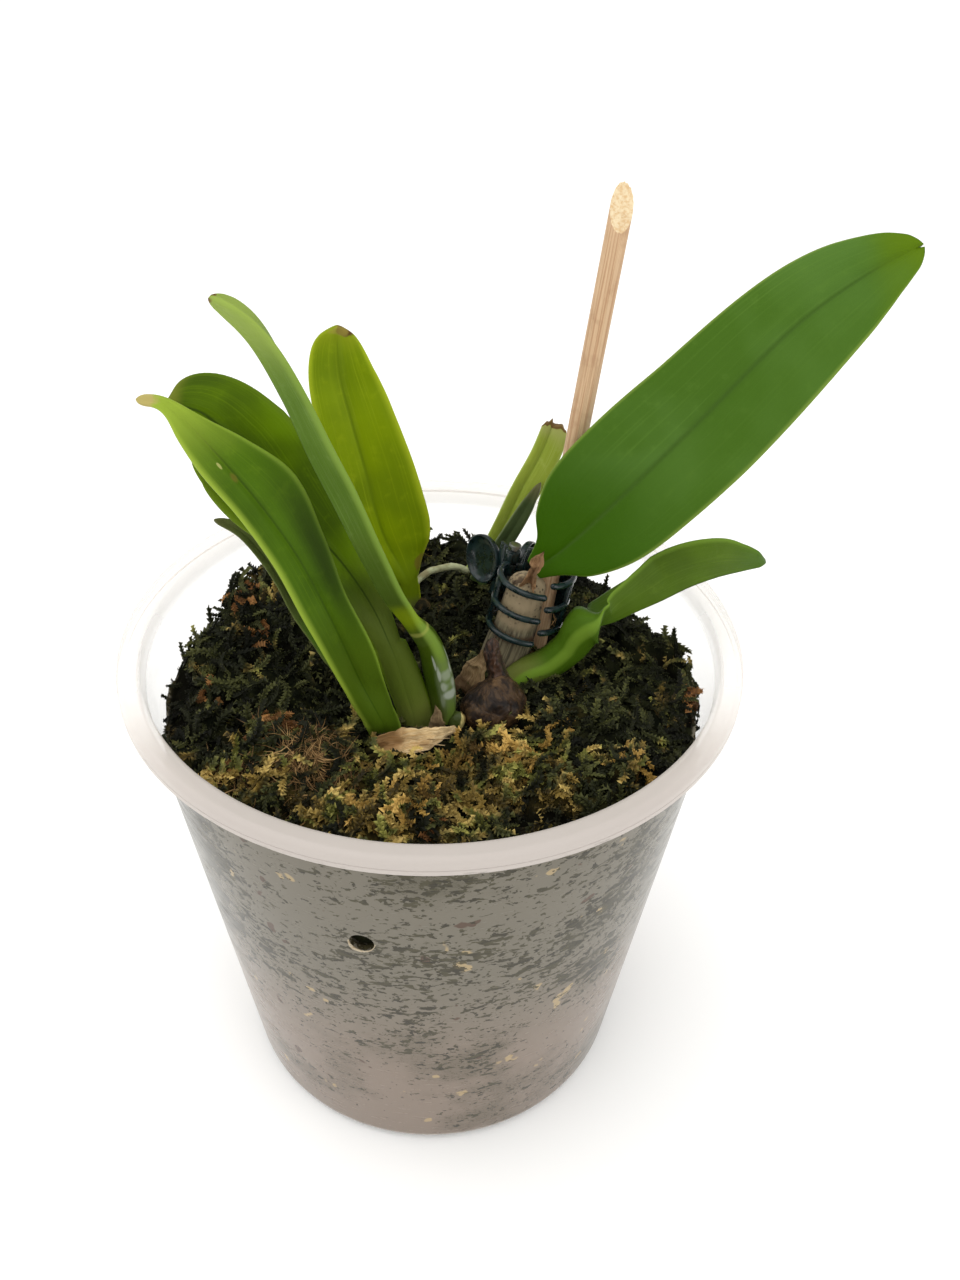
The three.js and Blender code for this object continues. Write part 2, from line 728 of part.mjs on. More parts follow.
// One jaw of the clip, in the clip's own frame: three prongs, the back that carries them,
// two knuckles round the pin and an arm out to the dished thumb pad.
function jawSolid({ levels, from, to, backEnd, knuckles, arm: tall, pad, side }) {
  const { wire, back, hinge, pin, pads } = CLIP;
  const prongs = levels.map((level) => {
    const bend = curveThrough(spread(8).map((t) => ringPoint(from + (to - from) * t, level)));
    return solidOf(rod(bend, wire / 2, 10, 6));
  });
  const [low, high] = [Math.min(...levels), Math.max(...levels)];
  const strip = curveThrough(
    spread(6).map((t) => ringPoint(from + (backEnd - from) * t, (low + high) / 2)),
  );
  const upright = [[0, 0, 1], [0, 0, 1], [0, 0, 1]];
  const plate = sweep(strip, spread(5), upright, () => [
    [back / 2, (high - low) / 2],
    [-back / 2, (high - low) / 2],
    [-back / 2, (low - high) / 2],
    [back / 2, (low - high) / 2],
  ]);
  const padTurn = THREE.MathUtils.degToRad(pad);
  const [x, y] = ringPoint(hinge.angle, 0, hinge.radius);
  const out = (distance) => [x + distance * Math.cos(padTurn), y + distance * Math.sin(padTurn)];
  const dish = turned(DISH.map(([r, z]) => [r * pads.radius, z]), 20)
    .rotateX((side * Math.PI) / 2)
    .rotateZ(padTurn)
    .translate(...out(pads.reach + pads.radius), pads.level);
  const arm = lug(out(pads.reach + 1.4), 0, tall);
  const body = joined([...prongs, solidOf(plate), solidOf(dish), arm]);
  const start = ringPoint(from, 0);
  const held = knuckles.flatMap(([level, length]) => [
    hingeBar(hinge.knuckle, level, length),
    lug(start, level, length),
    lug(out(pads.reach), level, length),
  ]);
  return joined([body.subtract(hingeBar(hinge.knuckle + GAP, 0, 40)), ...held]).subtract(
    hingeBar(pin + GAP, 0, 40),
  );
}

// The pin through both jaws' knuckles, with a head at each end and the closing spring's coils.
function pinSolid() {
  const { hinge, pin } = CLIP;
  const heads = [-1, 1].map((end) => hingeBar(hinge.knuckle - 0.3, end * (hinge.half + 0.3), 0.6));
  const coils = SPRING.levels.map((level) => {
    const [x, y] = ringPoint(hinge.angle, 0, hinge.radius);
    const coil = new THREE.TorusGeometry(SPRING.radius, SPRING.wire, 5, 12).translate(x, y, level);
    return solidOf(coil);
  });
  const shaft = hingeBar(pin, 0, 2 * hinge.half + 0.6);
  return joined([shaft, hingeBar(SPRING.radius, 0, SPRING.core), ...heads, ...coils]);
}

// ---- assembly ---------------------------------------------------------------------------------
const finishes = {
  clearPlastic: { color: 0xdcd8d0, roughness: 0.25, transparent: true, opacity: 0.45 },
  moss: { color: 0x34381c, roughness: 1 },
  bamboo: { color: 0xd7aa74, roughness: 0.7 },
  clip: { color: 0x142c2c, roughness: 0.25 },
  steel: { color: 0x9a9a96, roughness: 0.35, metalness: 1 },
  cane: { color: 0x96876a, roughness: 0.85 },
  bulb: { color: 0x46301f, roughness: 0.6 },
  husk: { color: 0xcdaf78, roughness: 0.9 },
  leaf: { color: 0x4c7d1e, roughness: 0.4 },
  leafPale: { color: 0x75902a, roughness: 0.45 },
  stem: { color: 0x6d8c3c, roughness: 0.5 },
  root: { color: 0xb9c39a, roughness: 0.7 },
  rhizome: { color: 0x6a5a30, roughness: 0.9 },
};

const orchid = new THREE.Group();

function place(name, solid, finish, parent = orchid) {
  const mesh = new THREE.Mesh(
    geometryOf(largest(solid)),
    new THREE.MeshStandardMaterial({ ...finishes[finish], flatShading: false }),
  );
  mesh.name = name;
  parent.add(mesh);
  return mesh;
}

function rhizomeSolid(grow = 0) {
  const { runs, roots, rootRadii } = RHIZOME;
  const rods = [
    ...runs.map(({ path, radius }) => ({ path, radii: [[0, radius], [1, radius]], rows: 4, sides: 6 })),
    ...roots.map((path) => ({ path, radii: rootRadii, rows: 5, sides: 4 })),
  ];
  return joined(rods.map((part) => stem(part, grow)));
}

// A piece that is cut back to leave GAP round the pieces it meets.
const fitted = (solid, ...clearances) => solid.subtract(joined(clearances));

const rhizome = { solid: rhizomeSolid(), clear: rhizomeSolid(GAP) };
const stake = { solid: stakeSolid(), clear: stakeSolid(GAP) };
const stemOf = (part) => ({ solid: stem(part), clear: stem(part, GAP) });
const stems = Object.fromEntries(Object.entries(STEMS).map(([key, part]) => [key, stemOf(part)]));
const lumpOn = (ball, part) => ({
  solid: lump(ball).add(stem(part)),
  clear: lump(ball, GAP).add(stem(part, GAP)),
});
const huskOf = (part) => ({
  solid: blade({ ...HUSK_FORM, ...part }),
  clear: blade({ ...HUSK_FORM, ...part }, GAP),
});

// The feet stand side by side, so each is cut back from the one before it.
const feet = [
  ["stem_a", stems.a, "stem"],
  ["stem_b", stems.b, "stem"],
  ["stem_c", stems.c, "stem"],
  ["stem_d", stems.d, "stem"],
  ["stem_e", stems.e, "stem"],
  ["stem_h", stems.h, "stem"],
  ["cane", lumpOn(SCAR, CANE), "cane"],
  ["sheath_g", stemOf(SHEATH), "stem"],
  ["back_bulb", lumpOn(BULB, NECK), "bulb"],
  ["bud", { solid: lump(BUD), clear: lump(BUD, GAP) }, "leafPale"],
  ["aerial_root", stemOf(AERIAL_ROOT), "root"],
  ...Object.entries(HUSKS).map(([key, part]) => [`husk_${key}`, huskOf(part), "husk"]),
];
const sunk = [rhizome.clear, stake.clear];
place("rhizome", rhizome.solid, "rhizome");
place("stake", stake.solid, "bamboo");
for (const [name, { solid, clear }, finish] of feet) {
  place(name, fitted(solid, ...sunk), finish);
  sunk.push(clear);
}
place("pot", potSolid(), "clearPlastic");
place("moss", fitted(mossSolid(), ...sunk), "moss");
for (const [key, leaf] of Object.entries(LEAVES)) {
  place(`leaf_${key}`, fitted(blade(leaf), ...sunk), leaf.tone ?? "leaf");
}

const clip = new THREE.Group();
clip.position.set(...CLIP.centre);
clip.quaternion.setFromUnitVectors(new THREE.Vector3(0, 0, 1), point(CLIP.axis).normalize());
orchid.add(clip);
place("clip_jaw_left", jawSolid(JAW_LEFT), "clip", clip);
place("clip_jaw_right", jawSolid(JAW_RIGHT), "clip", clip);
place("clip_pin", pinSolid(), "steel", clip);

export default orchid;
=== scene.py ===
# A young cattleya orchid in a clear pot: the looks, built round the fixed frame.
# Settings are in millimetres, and every mesh is made in metres.
import math
import random

import bmesh
import bpy
import numpy as np
from mathutils import Matrix, Vector, noise


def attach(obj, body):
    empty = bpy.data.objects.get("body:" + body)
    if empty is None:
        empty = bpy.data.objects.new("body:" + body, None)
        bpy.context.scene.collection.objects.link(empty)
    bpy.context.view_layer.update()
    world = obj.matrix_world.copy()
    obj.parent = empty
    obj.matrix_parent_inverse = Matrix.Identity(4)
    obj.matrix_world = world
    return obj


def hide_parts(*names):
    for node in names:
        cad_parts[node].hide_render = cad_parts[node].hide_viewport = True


mm = 0.001
plantBody = "potted_plant"
clipBody = "clip_left"

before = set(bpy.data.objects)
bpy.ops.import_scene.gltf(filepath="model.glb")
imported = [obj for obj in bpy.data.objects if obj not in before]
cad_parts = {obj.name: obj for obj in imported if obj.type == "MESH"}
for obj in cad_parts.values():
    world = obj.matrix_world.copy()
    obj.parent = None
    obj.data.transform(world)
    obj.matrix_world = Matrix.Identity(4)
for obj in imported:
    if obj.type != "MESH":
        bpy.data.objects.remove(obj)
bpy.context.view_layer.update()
print("frame loaded:", len(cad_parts), "nodes")


# numbers and curves

def tone(red, green, blue):
    # an sRGB colour, 0 to 255, as the linear colour that shaders take
    def linear(value):
        value = value / 255
        return value / 12.92 if value <= 0.04045 else ((value + 0.055) / 1.055) ** 2.4

    return (linear(red), linear(green), linear(blue), 1.0)


def seen(red, green, blue, gain=1.2):
    # the tone that the studio light brings out as this colour
    return tuple(c / gain for c in tone(red, green, blue)[:3]) + (1.0,)


def between(t, a, slopeA, b, slopeB):
    # a curve from a to b with the given slopes at its ends
    start = (2 * t**3 - 3 * t**2 + 1) * a + (t**3 - 2 * t**2 + t) * slopeA
    return start + (3 * t**2 - 2 * t**3) * b + (t**3 - t**2) * slopeB


def along(rows, s, side=1):
    # a smooth value at s from stations [s, value] or [s, left value, right value]
    places = [row[0] for row in rows]
    values = [row[side] if len(row) > side else row[1] for row in rows]
    last = len(rows) - 1
    if s <= places[0]:
        return values[0]
    if s >= places[last]:
        return values[last]
    i = max(k for k in range(last) if places[k] <= s)

    def slope(a, b):
        return (values[b] - values[a]) / (places[b] - places[a])

    startSlope = slope(i - 1, i + 1) if i > 0 else slope(i, i + 1)
    endSlope = slope(i, i + 2) if i + 1 < last else slope(i, i + 1)
    span = places[i + 1] - places[i]
    return between((s - places[i]) / span, values[i], span * startSlope, values[i + 1], span * endSlope)


def smoothStep(low, high, value):
    t = min(1.0, max(0.0, (value - low) / (high - low)))
    return t * t * (3 - 2 * t)


def domed(near, least=0.02):
    # the width of a rounded end, from its tip at 0 to its full width at 1
    return math.sqrt(max(least, 1 - (1 - min(1.0, near)) ** 2))


def spread(count, start=0.0, end=1.0):
    return [start + (end - start) * i / count for i in range(count + 1)]


def turnsOf(count):
    return [2 * math.pi * i / count for i in range(count)]


class SmoothPath:
    # a centripetal curve through points, measured by its length from 0 to 1
    def __init__(self, points, fine=60):
        knots = [Vector(p) for p in points]
        knots = [2 * knots[0] - knots[1]] + knots + [2 * knots[-1] - knots[-2]]
        self.dense = []
        for i in range(1, len(knots) - 2):
            self.dense += self.stretch(knots[i - 1 : i + 3], fine)
        self.dense.append(knots[-2])
        steps = [(b - a).length for a, b in zip(self.dense, self.dense[1:])]
        self.travel = np.concatenate([[0], np.cumsum(steps)])
        self.length = float(self.travel[-1])

    @staticmethod
    def stretch(knots, fine):
        p0, p1, p2, p3 = knots
        gaps = [max((b - a).length ** 0.5, 1e-4) for a, b in zip(knots, knots[1:])]
        t1 = (p1 - p0) / gaps[0] - (p2 - p0) / (gaps[0] + gaps[1]) + (p2 - p1) / gaps[1]
        t2 = (p2 - p1) / gaps[1] - (p3 - p1) / (gaps[1] + gaps[2]) + (p3 - p2) / gaps[2]
        return [between(k / fine, p1, t1 * gaps[1], p2, t2 * gaps[1]) for k in range(fine)]

    def at(self, s):
        want = min(max(s, 0.0), 1.0) * self.length
        i = int(np.searchsorted(self.travel, want, side="right")) - 1
        i = min(max(i, 0), len(self.dense) - 2)
        share = (want - self.travel[i]) / max(self.travel[i + 1] - self.travel[i], 1e-9)
        return self.dense[i].lerp(self.dense[i + 1], float(share))

    def forward(self, s):
        return (self.at(s + 0.002) - self.at(s - 0.002)).normalized()


def facingAt(facing, s):
    # the way a piece faces at s, from three directions along it
    pair = facing[:2] if s < 0.5 else facing[1:]
    share = 2 * s if s < 0.5 else 2 * s - 1
    return Vector(pair[0]).normalized().lerp(Vector(pair[1]).normalized(), share)


def bump(x, y, z, size):
    # smooth noise from -1 to 1 at a point in millimetres
    return noise.noise(Vector((x / size, y / size, z / size)))


# meshes

def makeObject(name, points, faces, uvs=None, slots=None, smooth=True):
    # points in millimetres, faces as index lists, uvs one pair for each corner of each face
    mesh = bpy.data.meshes.new(name)
    mesh.from_pydata([tuple(c * mm for c in p) for p in points], [], faces)
    if uvs is not None:
        layer = mesh.uv_layers.new(name="UVMap")
        layer.data.foreach_set("uv", np.array(uvs, np.float32).ravel())
    if slots is not None:
        mesh.polygons.foreach_set("material_index", slots)
    mesh.polygons.foreach_set("use_smooth", [smooth] * len(mesh.polygons))
    mesh.update()
    piece = bpy.data.objects.new(name, mesh)
    bpy.context.scene.collection.objects.link(piece)
    return piece


def pointOut(piece, seam=0.0):
    # turn the faces out; corners closer than the seam's width are joined first
    tool = bmesh.new()
    tool.from_mesh(piece.data)
    if seam:
        bmesh.ops.remove_doubles(tool, verts=tool.verts, dist=seam * mm)
    bmesh.ops.recalc_face_normals(tool, faces=tool.faces)
    tool.to_mesh(piece.data)
    tool.free()
    return piece


def joinPieces(name, pieces):
    # one object from several, each keeping its materials
    bpy.ops.object.select_all(action="DESELECT")
    for piece in pieces:
        piece.select_set(True)
    bpy.context.view_layer.objects.active = pieces[0]
    bpy.ops.object.join()
    pieces[0].name = name
    pieces[0].data.name = name
    return pieces[0]


def freeze(piece):
    # the modifiers' result as a plain mesh
    graph = bpy.context.evaluated_depsgraph_get()
    mesh = bpy.data.meshes.new_from_object(piece.evaluated_get(graph))
    piece.modifiers.clear()
    old = piece.data
    piece.data = mesh
    mesh.name = piece.name
    bpy.data.meshes.remove(old)
    return piece


def facesBetween(low, high):
    # the faces between two closed rings of corners
    count = len(low)
    return [[low[j], low[(j + 1) % count], high[(j + 1) % count], high[j]] for j in range(count)]


def mapBetween(count, s, t):
    # the same faces on the piece's own map, from s to t along it
    steps = spread(count)
    return [corner for a, b in zip(steps, steps[1:]) for corner in ((a, s), (b, s), (b, t), (a, t))]


def sweep(name, path, stations, facing, section):
    # a closed skin along a path; section(s) gives [across, up] offsets round the outline
    track = SmoothPath(path)
    points, rings, faces, uvs = [], [], [], []
    for s in stations:
        centre, forward = track.at(s), track.forward(s)
        up = facingAt(facing, s)
        up = (up - forward * up.dot(forward)).normalized()
        across = up.cross(forward)
        ring = [centre + across * a + up * b for a, b in section(s)]
        rings.append(range(len(points), len(points) + len(ring)))
        points += ring
    for i, (low, high) in enumerate(zip(rings, rings[1:])):
        faces += facesBetween(low, high)
        uvs += mapBetween(len(low), stations[i], stations[i + 1])
    for ring, s in ((rings[0][::-1], 0.0), (rings[-1], 1.0)):
        faces.append(list(ring))
        uvs += [(0.5, s)] * len(ring)
    return pointOut(makeObject(name, points, faces, uvs))


def roundRod(name, path, radius, rows, sides):
    # a round rod with domed ends
    reach = SmoothPath(path).length
    dome = radius / reach
    stations = [0, dome * 0.15, dome * 0.5] + spread(rows, dome, 1 - dome)
    stations += [1 - dome * 0.5, 1 - dome * 0.15, 1]
    # the rod's up is well away from its own run
    run = (Vector(path[-1]) - Vector(path[0])).normalized()
    up = (0, 0, 1) if abs(run.z) < 0.8 else (0, -1, 0)

    def section(s):
        size = radius * domed(min(s, 1 - s) * reach / radius)
        return [[size * math.cos(t), size * math.sin(t)] for t in turnsOf(sides)]

    return sweep(name, path, stations, [up] * 3, section)


def lathe(name, profile, segments):
    # a body of revolution about Z from [radius, height] points; 0 radius is a pole
    points, rows = [], []
    for radius, height in profile:
        if radius < 1e-6:
            rows.append([len(points)] * segments)
            points.append((0, 0, height))
            continue
        rows.append(range(len(points), len(points) + segments))
        points += [(radius * math.cos(t), radius * math.sin(t), height) for t in turnsOf(segments)]
    faces = []
    for low, high in zip(rows, rows[1:]):
        corners = [list(dict.fromkeys(face)) for face in facesBetween(low, high)]
        faces += [face for face in corners if len(face) > 2]
    return pointOut(makeObject(name, points, faces))


def arc(r, z, radius, start, end, steps):
    turns = [math.radians(t) for t in spread(steps, start, end)]
    return [[r + radius * math.cos(t), z + radius * math.sin(t)] for t in turns]


# building materials

def placeNode(tree, kind, inputs, settings):
    node = tree.nodes.new(kind)
    for key, value in settings.items():
        setattr(node, key, value)
    for key, value in inputs.items():
        if isinstance(value, bpy.types.NodeSocket):
            tree.links.new(value, node.inputs[key])
        else:
            node.inputs[key].default_value = value
    return node


def addNode(tree, kind, inputs=None, **settings):
    return placeNode(tree, "ShaderNode" + kind, inputs or {}, settings)


def calc(tree, operation, a, b=0.0):
    return addNode(tree, "Math", {0: a, 1: b}, operation=operation).outputs[0]


def times(tree, a, b):
    return calc(tree, "MULTIPLY", a, b)


def plus(tree, a, b):
    return calc(tree, "ADD", a, b)


def minus(tree, a, b):
    return calc(tree, "SUBTRACT", a, b)


def swing(tree, pattern, amount, middle=0.5):
    # a pattern as an offset to both sides of nought
    return times(tree, minus(tree, pattern, middle), amount)


def vectorCalc(tree, operation, a, b=(0.0, 0.0, 0.0), result="Vector"):
    return addNode(tree, "VectorMath", {0: a, 1: b}, operation=operation).outputs[result]


def mixTone(tree, share, a, b):
    return addNode(tree, "Mix", {0: share, 6: a, 7: b}, data_type="RGBA").outputs[2]


def remap(tree, value, low, high, first=0.0, last=1.0):
    # value from low to high becomes first to last, held outside and eased between
    inputs = {0: value, 1: low, 2: high, 3: first, 4: last}
    return addNode(tree, "MapRange", inputs, interpolation_type="SMOOTHSTEP").outputs[0]


def blend(tree, value, low, high, a, b, most=1.0):
    # tone a turns to b, or most of the way to it, while the value goes from low to high
    return mixTone(tree, remap(tree, value, low, high, 0.0, most), a, b)


def patches(tree, vector, scale, detail=3.0, rough=0.55, warp=0.0):
    inputs = {"Vector": vector, "Scale": scale, "Detail": detail, "Roughness": rough, "Distortion": warp}
    return addNode(tree, "TexNoise", inputs).outputs[0]


def moved(tree, vector, scale=(1, 1, 1), turn=(0, 0, 0), shift=(0, 0, 0)):
    inputs = {"Vector": vector, "Scale": scale, "Rotation": turn, "Location": shift}
    return addNode(tree, "Mapping", inputs).outputs[0]


def objectPlace(tree):
    return addNode(tree, "TexCoord").outputs["Object"]


def surfacePlace(tree):
    return addNode(tree, "UVMap", uv_map="UVMap").outputs[0]


def separate(tree, vector):
    return addNode(tree, "SeparateXYZ", {0: vector}).outputs


def stored(tree, name):
    # a value that the mesh carries
    return addNode(tree, "Attribute", attribute_name=name).outputs["Fac"]


def newGroup(name, inputs, outputs):
    # a shader node group with named sockets; a colour, a number or a vector by its default value
    tree = bpy.data.node_groups.new(name, "ShaderNodeTree")
    for label, value in inputs.items():
        kind = "Float" if isinstance(value, (int, float)) else "Color" if len(value) == 4 else "Vector"
        socket = tree.interface.new_socket(name=label, in_out="INPUT", socket_type="NodeSocket" + kind)
        socket.default_value = value
    for label, kind in outputs.items():
        tree.interface.new_socket(name=label, in_out="OUTPUT", socket_type="NodeSocket" + kind)
    return tree, tree.nodes.new("NodeGroupInput").outputs, tree.nodes.new("NodeGroupOutput").inputs


def useGroup(tree, group, **inputs):
    return placeNode(tree, "ShaderNodeGroup", inputs, {"node_tree": group}).outputs


def newMaterial(name, **values):
    # a material with its shader's plain values set; underscores stand for spaces
    material = bpy.data.materials.new(name)
    material.use_nodes = True
    shader = material.node_tree.nodes["Principled BSDF"]
    for key, value in values.items():
        shader.inputs[key.replace("_", " ")].default_value = value
    return material, material.node_tree, shader


def wire(tree, shader, **sources):
    # sources for the shader's sockets; height is a relief with its depth in metres
    for key, source in sources.items():
        if key == "height":
            bumpNode = addNode(tree, "Bump", {"Height": source[0], "Distance": source[1]})
            tree.links.new(bumpNode.outputs[0], shader.inputs["Normal"])
        else:
            tree.links.new(source, shader.inputs[key.replace("_", " ")])


# the leaf's tones and the bands that they lie in
toneNames = ["body", "deep", "bright", "rib", "leftEdge", "rightEdge", "tip", "foot"]
bandNames = ["leftWidth", "rightWidth", "tipStart", "footEnd", "lowerHalf"]


# living leaf tissue: bands that follow the blade, patches that follow the object
def makeTissue():
    tree, given, made = newGroup(
        "leafTissue",
        dict.fromkeys(toneNames, tone(80, 120, 40)) | dict.fromkeys(bandNames, 0.0) | {"under": 0.0},
        {"Color": "Color", "Height": "Float", "Gloss": "Float"},
    )
    place = objectPlace(tree)
    uv = surfacePlace(tree)
    split = separate(tree, uv)
    x, y = split[0], split[1]
    across = calc(tree, "ABSOLUTE", minus(tree, times(tree, x, 2.0), 1.0))
    broad = patches(tree, place, 55, 2.0)
    fine = patches(tree, place, 420, 3.0)
    veins = patches(tree, moved(tree, uv, scale=(46, 1.6, 1)), 1.0, 2.0)
    wander = swing(tree, broad, 0.25)
    yHere = plus(tree, y, wander)
    color = blend(tree, broad, 0.36, 0.62, given["body"], given["deep"])
    color = blend(tree, veins, 0.5, 0.75, color, given["bright"], 0.35)
    color = blend(tree, fine, 0.55, 0.75, color, given["bright"], 0.25)
    # painted shade: the blade's right half, the lower one on leaf f, takes the deep tone by this share, as
    # the half of the fold turned from the light
    color = blend(tree, x, 0.52, 0.46, color, given["deep"], given["lowerHalf"])
    footStart = times(tree, given["footEnd"], 0.3)
    color = blend(tree, yHere, given["footEnd"], footStart, color, given["foot"])
    color = blend(tree, y, -0.12, -0.26, color, tone(98, 106, 46))
    # the midrib's line, the two margins and the tip
    ribShare = times(tree, remap(tree, across, 0.06, 0.01), remap(tree, y, -0.03, 0.04, 0.15, 0.8))
    color = mixTone(tree, ribShare, color, given["rib"])
    color = blend(tree, x, minus(tree, 1.0, given["leftWidth"]), 1.0, color, given["leftEdge"])
    color = blend(tree, x, given["rightWidth"], 0.0, color, given["rightEdge"])
    color = blend(tree, yHere, given["tipStart"], 1.0, color, given["tip"])
    pale = mixTone(tree, 0.06, color, tone(124, 146, 84))
    color = mixTone(tree, given["under"], color, pale)
    rise = times(tree, patches(tree, moved(tree, uv, scale=(70, 2.5, 1)), 1.0, 2.0), 0.6)
    rise = plus(tree, rise, times(tree, patches(tree, place, 900, 2.0), 0.4))
    tree.links.new(color, made["Color"])
    tree.links.new(rise, made["Height"])
    tree.links.new(remap(tree, broad, 0.3, 0.7, 0.34, 0.5), made["Gloss"])
    return tree


# dry fibre: long streaks between two tones, with stains
def makeDryFibre():
    tree, given, made = newGroup(
        "dryFibre",
        {
            "vector": (0.0, 0.0, 0.0),
            "light": tone(210, 180, 130),
            "dark": tone(150, 115, 70),
            "stain": tone(90, 65, 40),
            "stains": 0.4,
        },
        {"Color": "Color", "Height": "Float"},
    )
    place = objectPlace(tree)
    streak = patches(tree, given["vector"], 1.0, 4.0, 0.65)
    blot = patches(tree, place, 260, 3.0)
    color = blend(tree, streak, 0.38, 0.66, given["light"], given["dark"])
    color = blend(tree, blot, 0.52, 0.68, color, given["stain"], given["stains"])
    tree.links.new(color, made["Color"])
    tree.links.new(plus(tree, streak, times(tree, blot, 0.4)), made["Height"])
    return tree


# scattered small flecks over a base, such as specks, lenticels and grit
def makeFlecks():
    tree, given, made = newGroup(
        "flecks",
        {"base": tone(128, 128, 128), "fleck": tone(40, 30, 20), "size": 600.0},
        {"Color": "Color"},
    )
    place = objectPlace(tree)
    cells = addNode(tree, "TexVoronoi", {"Vector": place, "Scale": given["size"]}).outputs["Distance"]
    gate = patches(tree, place, 300, 2.0)
    share = times(tree, remap(tree, cells, 0.42, 0.18), remap(tree, gate, 0.42, 0.6))
    tree.links.new(mixTone(tree, share, given["base"], given["fleck"]), made["Color"])
    return tree


# moss that presses on the clear wall: fogged grey with dark flecks, threads and a few crumbs
def makePressedMoss(tones):
    tree, given, made = newGroup("pressedMoss", tones, {"Color": "Color"})
    place = objectPlace(tree)
    split = separate(tree, place)
    height = split[2]
    zones = patches(tree, moved(tree, place, scale=(1, 1, 1.3)), 34, 3.0, 0.6)
    dashes = patches(tree, moved(tree, place, scale=(1, 1, 1.9), turn=(0.3, 0.2, 0)), 340, 3.0, 0.6, 0.5)
    specks = patches(tree, moved(tree, place, scale=(1, 1, 1.5), turn=(-0.3, 0.1, 0)), 760, 2.0)
    threads = patches(tree, moved(tree, place, scale=(1, 1, 3.0), turn=(-0.3, 0.3, 0)), 170, 3.0, 0.6, 1.6)
    # fewer low down, and high up in front and behind
    middle = remap(tree, calc(tree, "ABSOLUTE", split[0]), 0.04, 0.026)
    thinned = times(tree, remap(tree, height, 0.074, 0.088, 0.0, -0.05), middle)
    rising = plus(tree, remap(tree, height, 0.028, 0.062, -0.07, 0.05), thinned)
    pressed = swing(tree, zones, 0.5)
    pressed = calc(tree, "MINIMUM", plus(tree, pressed, rising), 0.085)
    touch = remap(tree, plus(tree, dashes, pressed), 0.578, 0.594)
    small = remap(tree, plus(tree, specks, pressed), 0.606, 0.63)
    line = remap(tree, calc(tree, "ABSOLUTE", minus(tree, threads, 0.5)), 0.008, 0.004)
    line = times(tree, line, remap(tree, zones, 0.48, 0.6))
    touch = calc(tree, "MAXIMUM", touch, calc(tree, "MAXIMUM", small, line))
    fog = blend(tree, height, 0.025, 0.07, given["fogLow"], given["fogHigh"])
    fog = blend(tree, zones, 0.46, 0.66, fog, given["darkB"], 0.4)
    blobs = patches(tree, place, 150, 2.5)
    fog = blend(tree, blobs, 0.67, 0.7, fog, given["crumb"], 0.6)
    fog = blend(tree, blobs, 0.31, 0.29, fog, given["bark"], 0.8)
    darks = blend(tree, threads, 0.4, 0.6, given["darkA"], given["darkB"])
    tree.links.new(mixTone(tree, times(tree, touch, 0.92), fog, darks), made["Color"])
    return tree


tissue = makeTissue()
dryFibre = makeDryFibre()
flecks = makeFlecks()
pressedMoss = makePressedMoss({
    "fogLow": seen(136, 121, 108),
    "fogHigh": seen(116, 110, 97),
    "darkA": seen(42, 37, 20),
    "darkB": seen(66, 61, 38),
    "crumb": seen(196, 170, 122),
    "bark": seen(78, 52, 36),
})


def spotOn(tree, u, v, wide, tall, soft=0.35):
    # a ragged spot round a place of the piece's own map
    edge = patches(tree, objectPlace(tree), 500, 3.0)
    offset = vectorCalc(tree, "SUBTRACT", surfacePlace(tree), (u, v, 0.0))
    scaled = vectorCalc(tree, "MULTIPLY", offset, (1 / wide, 1 / tall, 0.0))
    reach = vectorCalc(tree, "LENGTH", scaled, result="Value")
    ragged = min(1.1, 1.7 * (1 - soft))  # soft spots are less ragged
    reach = plus(tree, reach, swing(tree, edge, ragged))
    return remap(tree, reach, 1.0, 1.0 - soft)


print("shader groups ready")


# leaves

front = [(0, -1, 0)] * 3

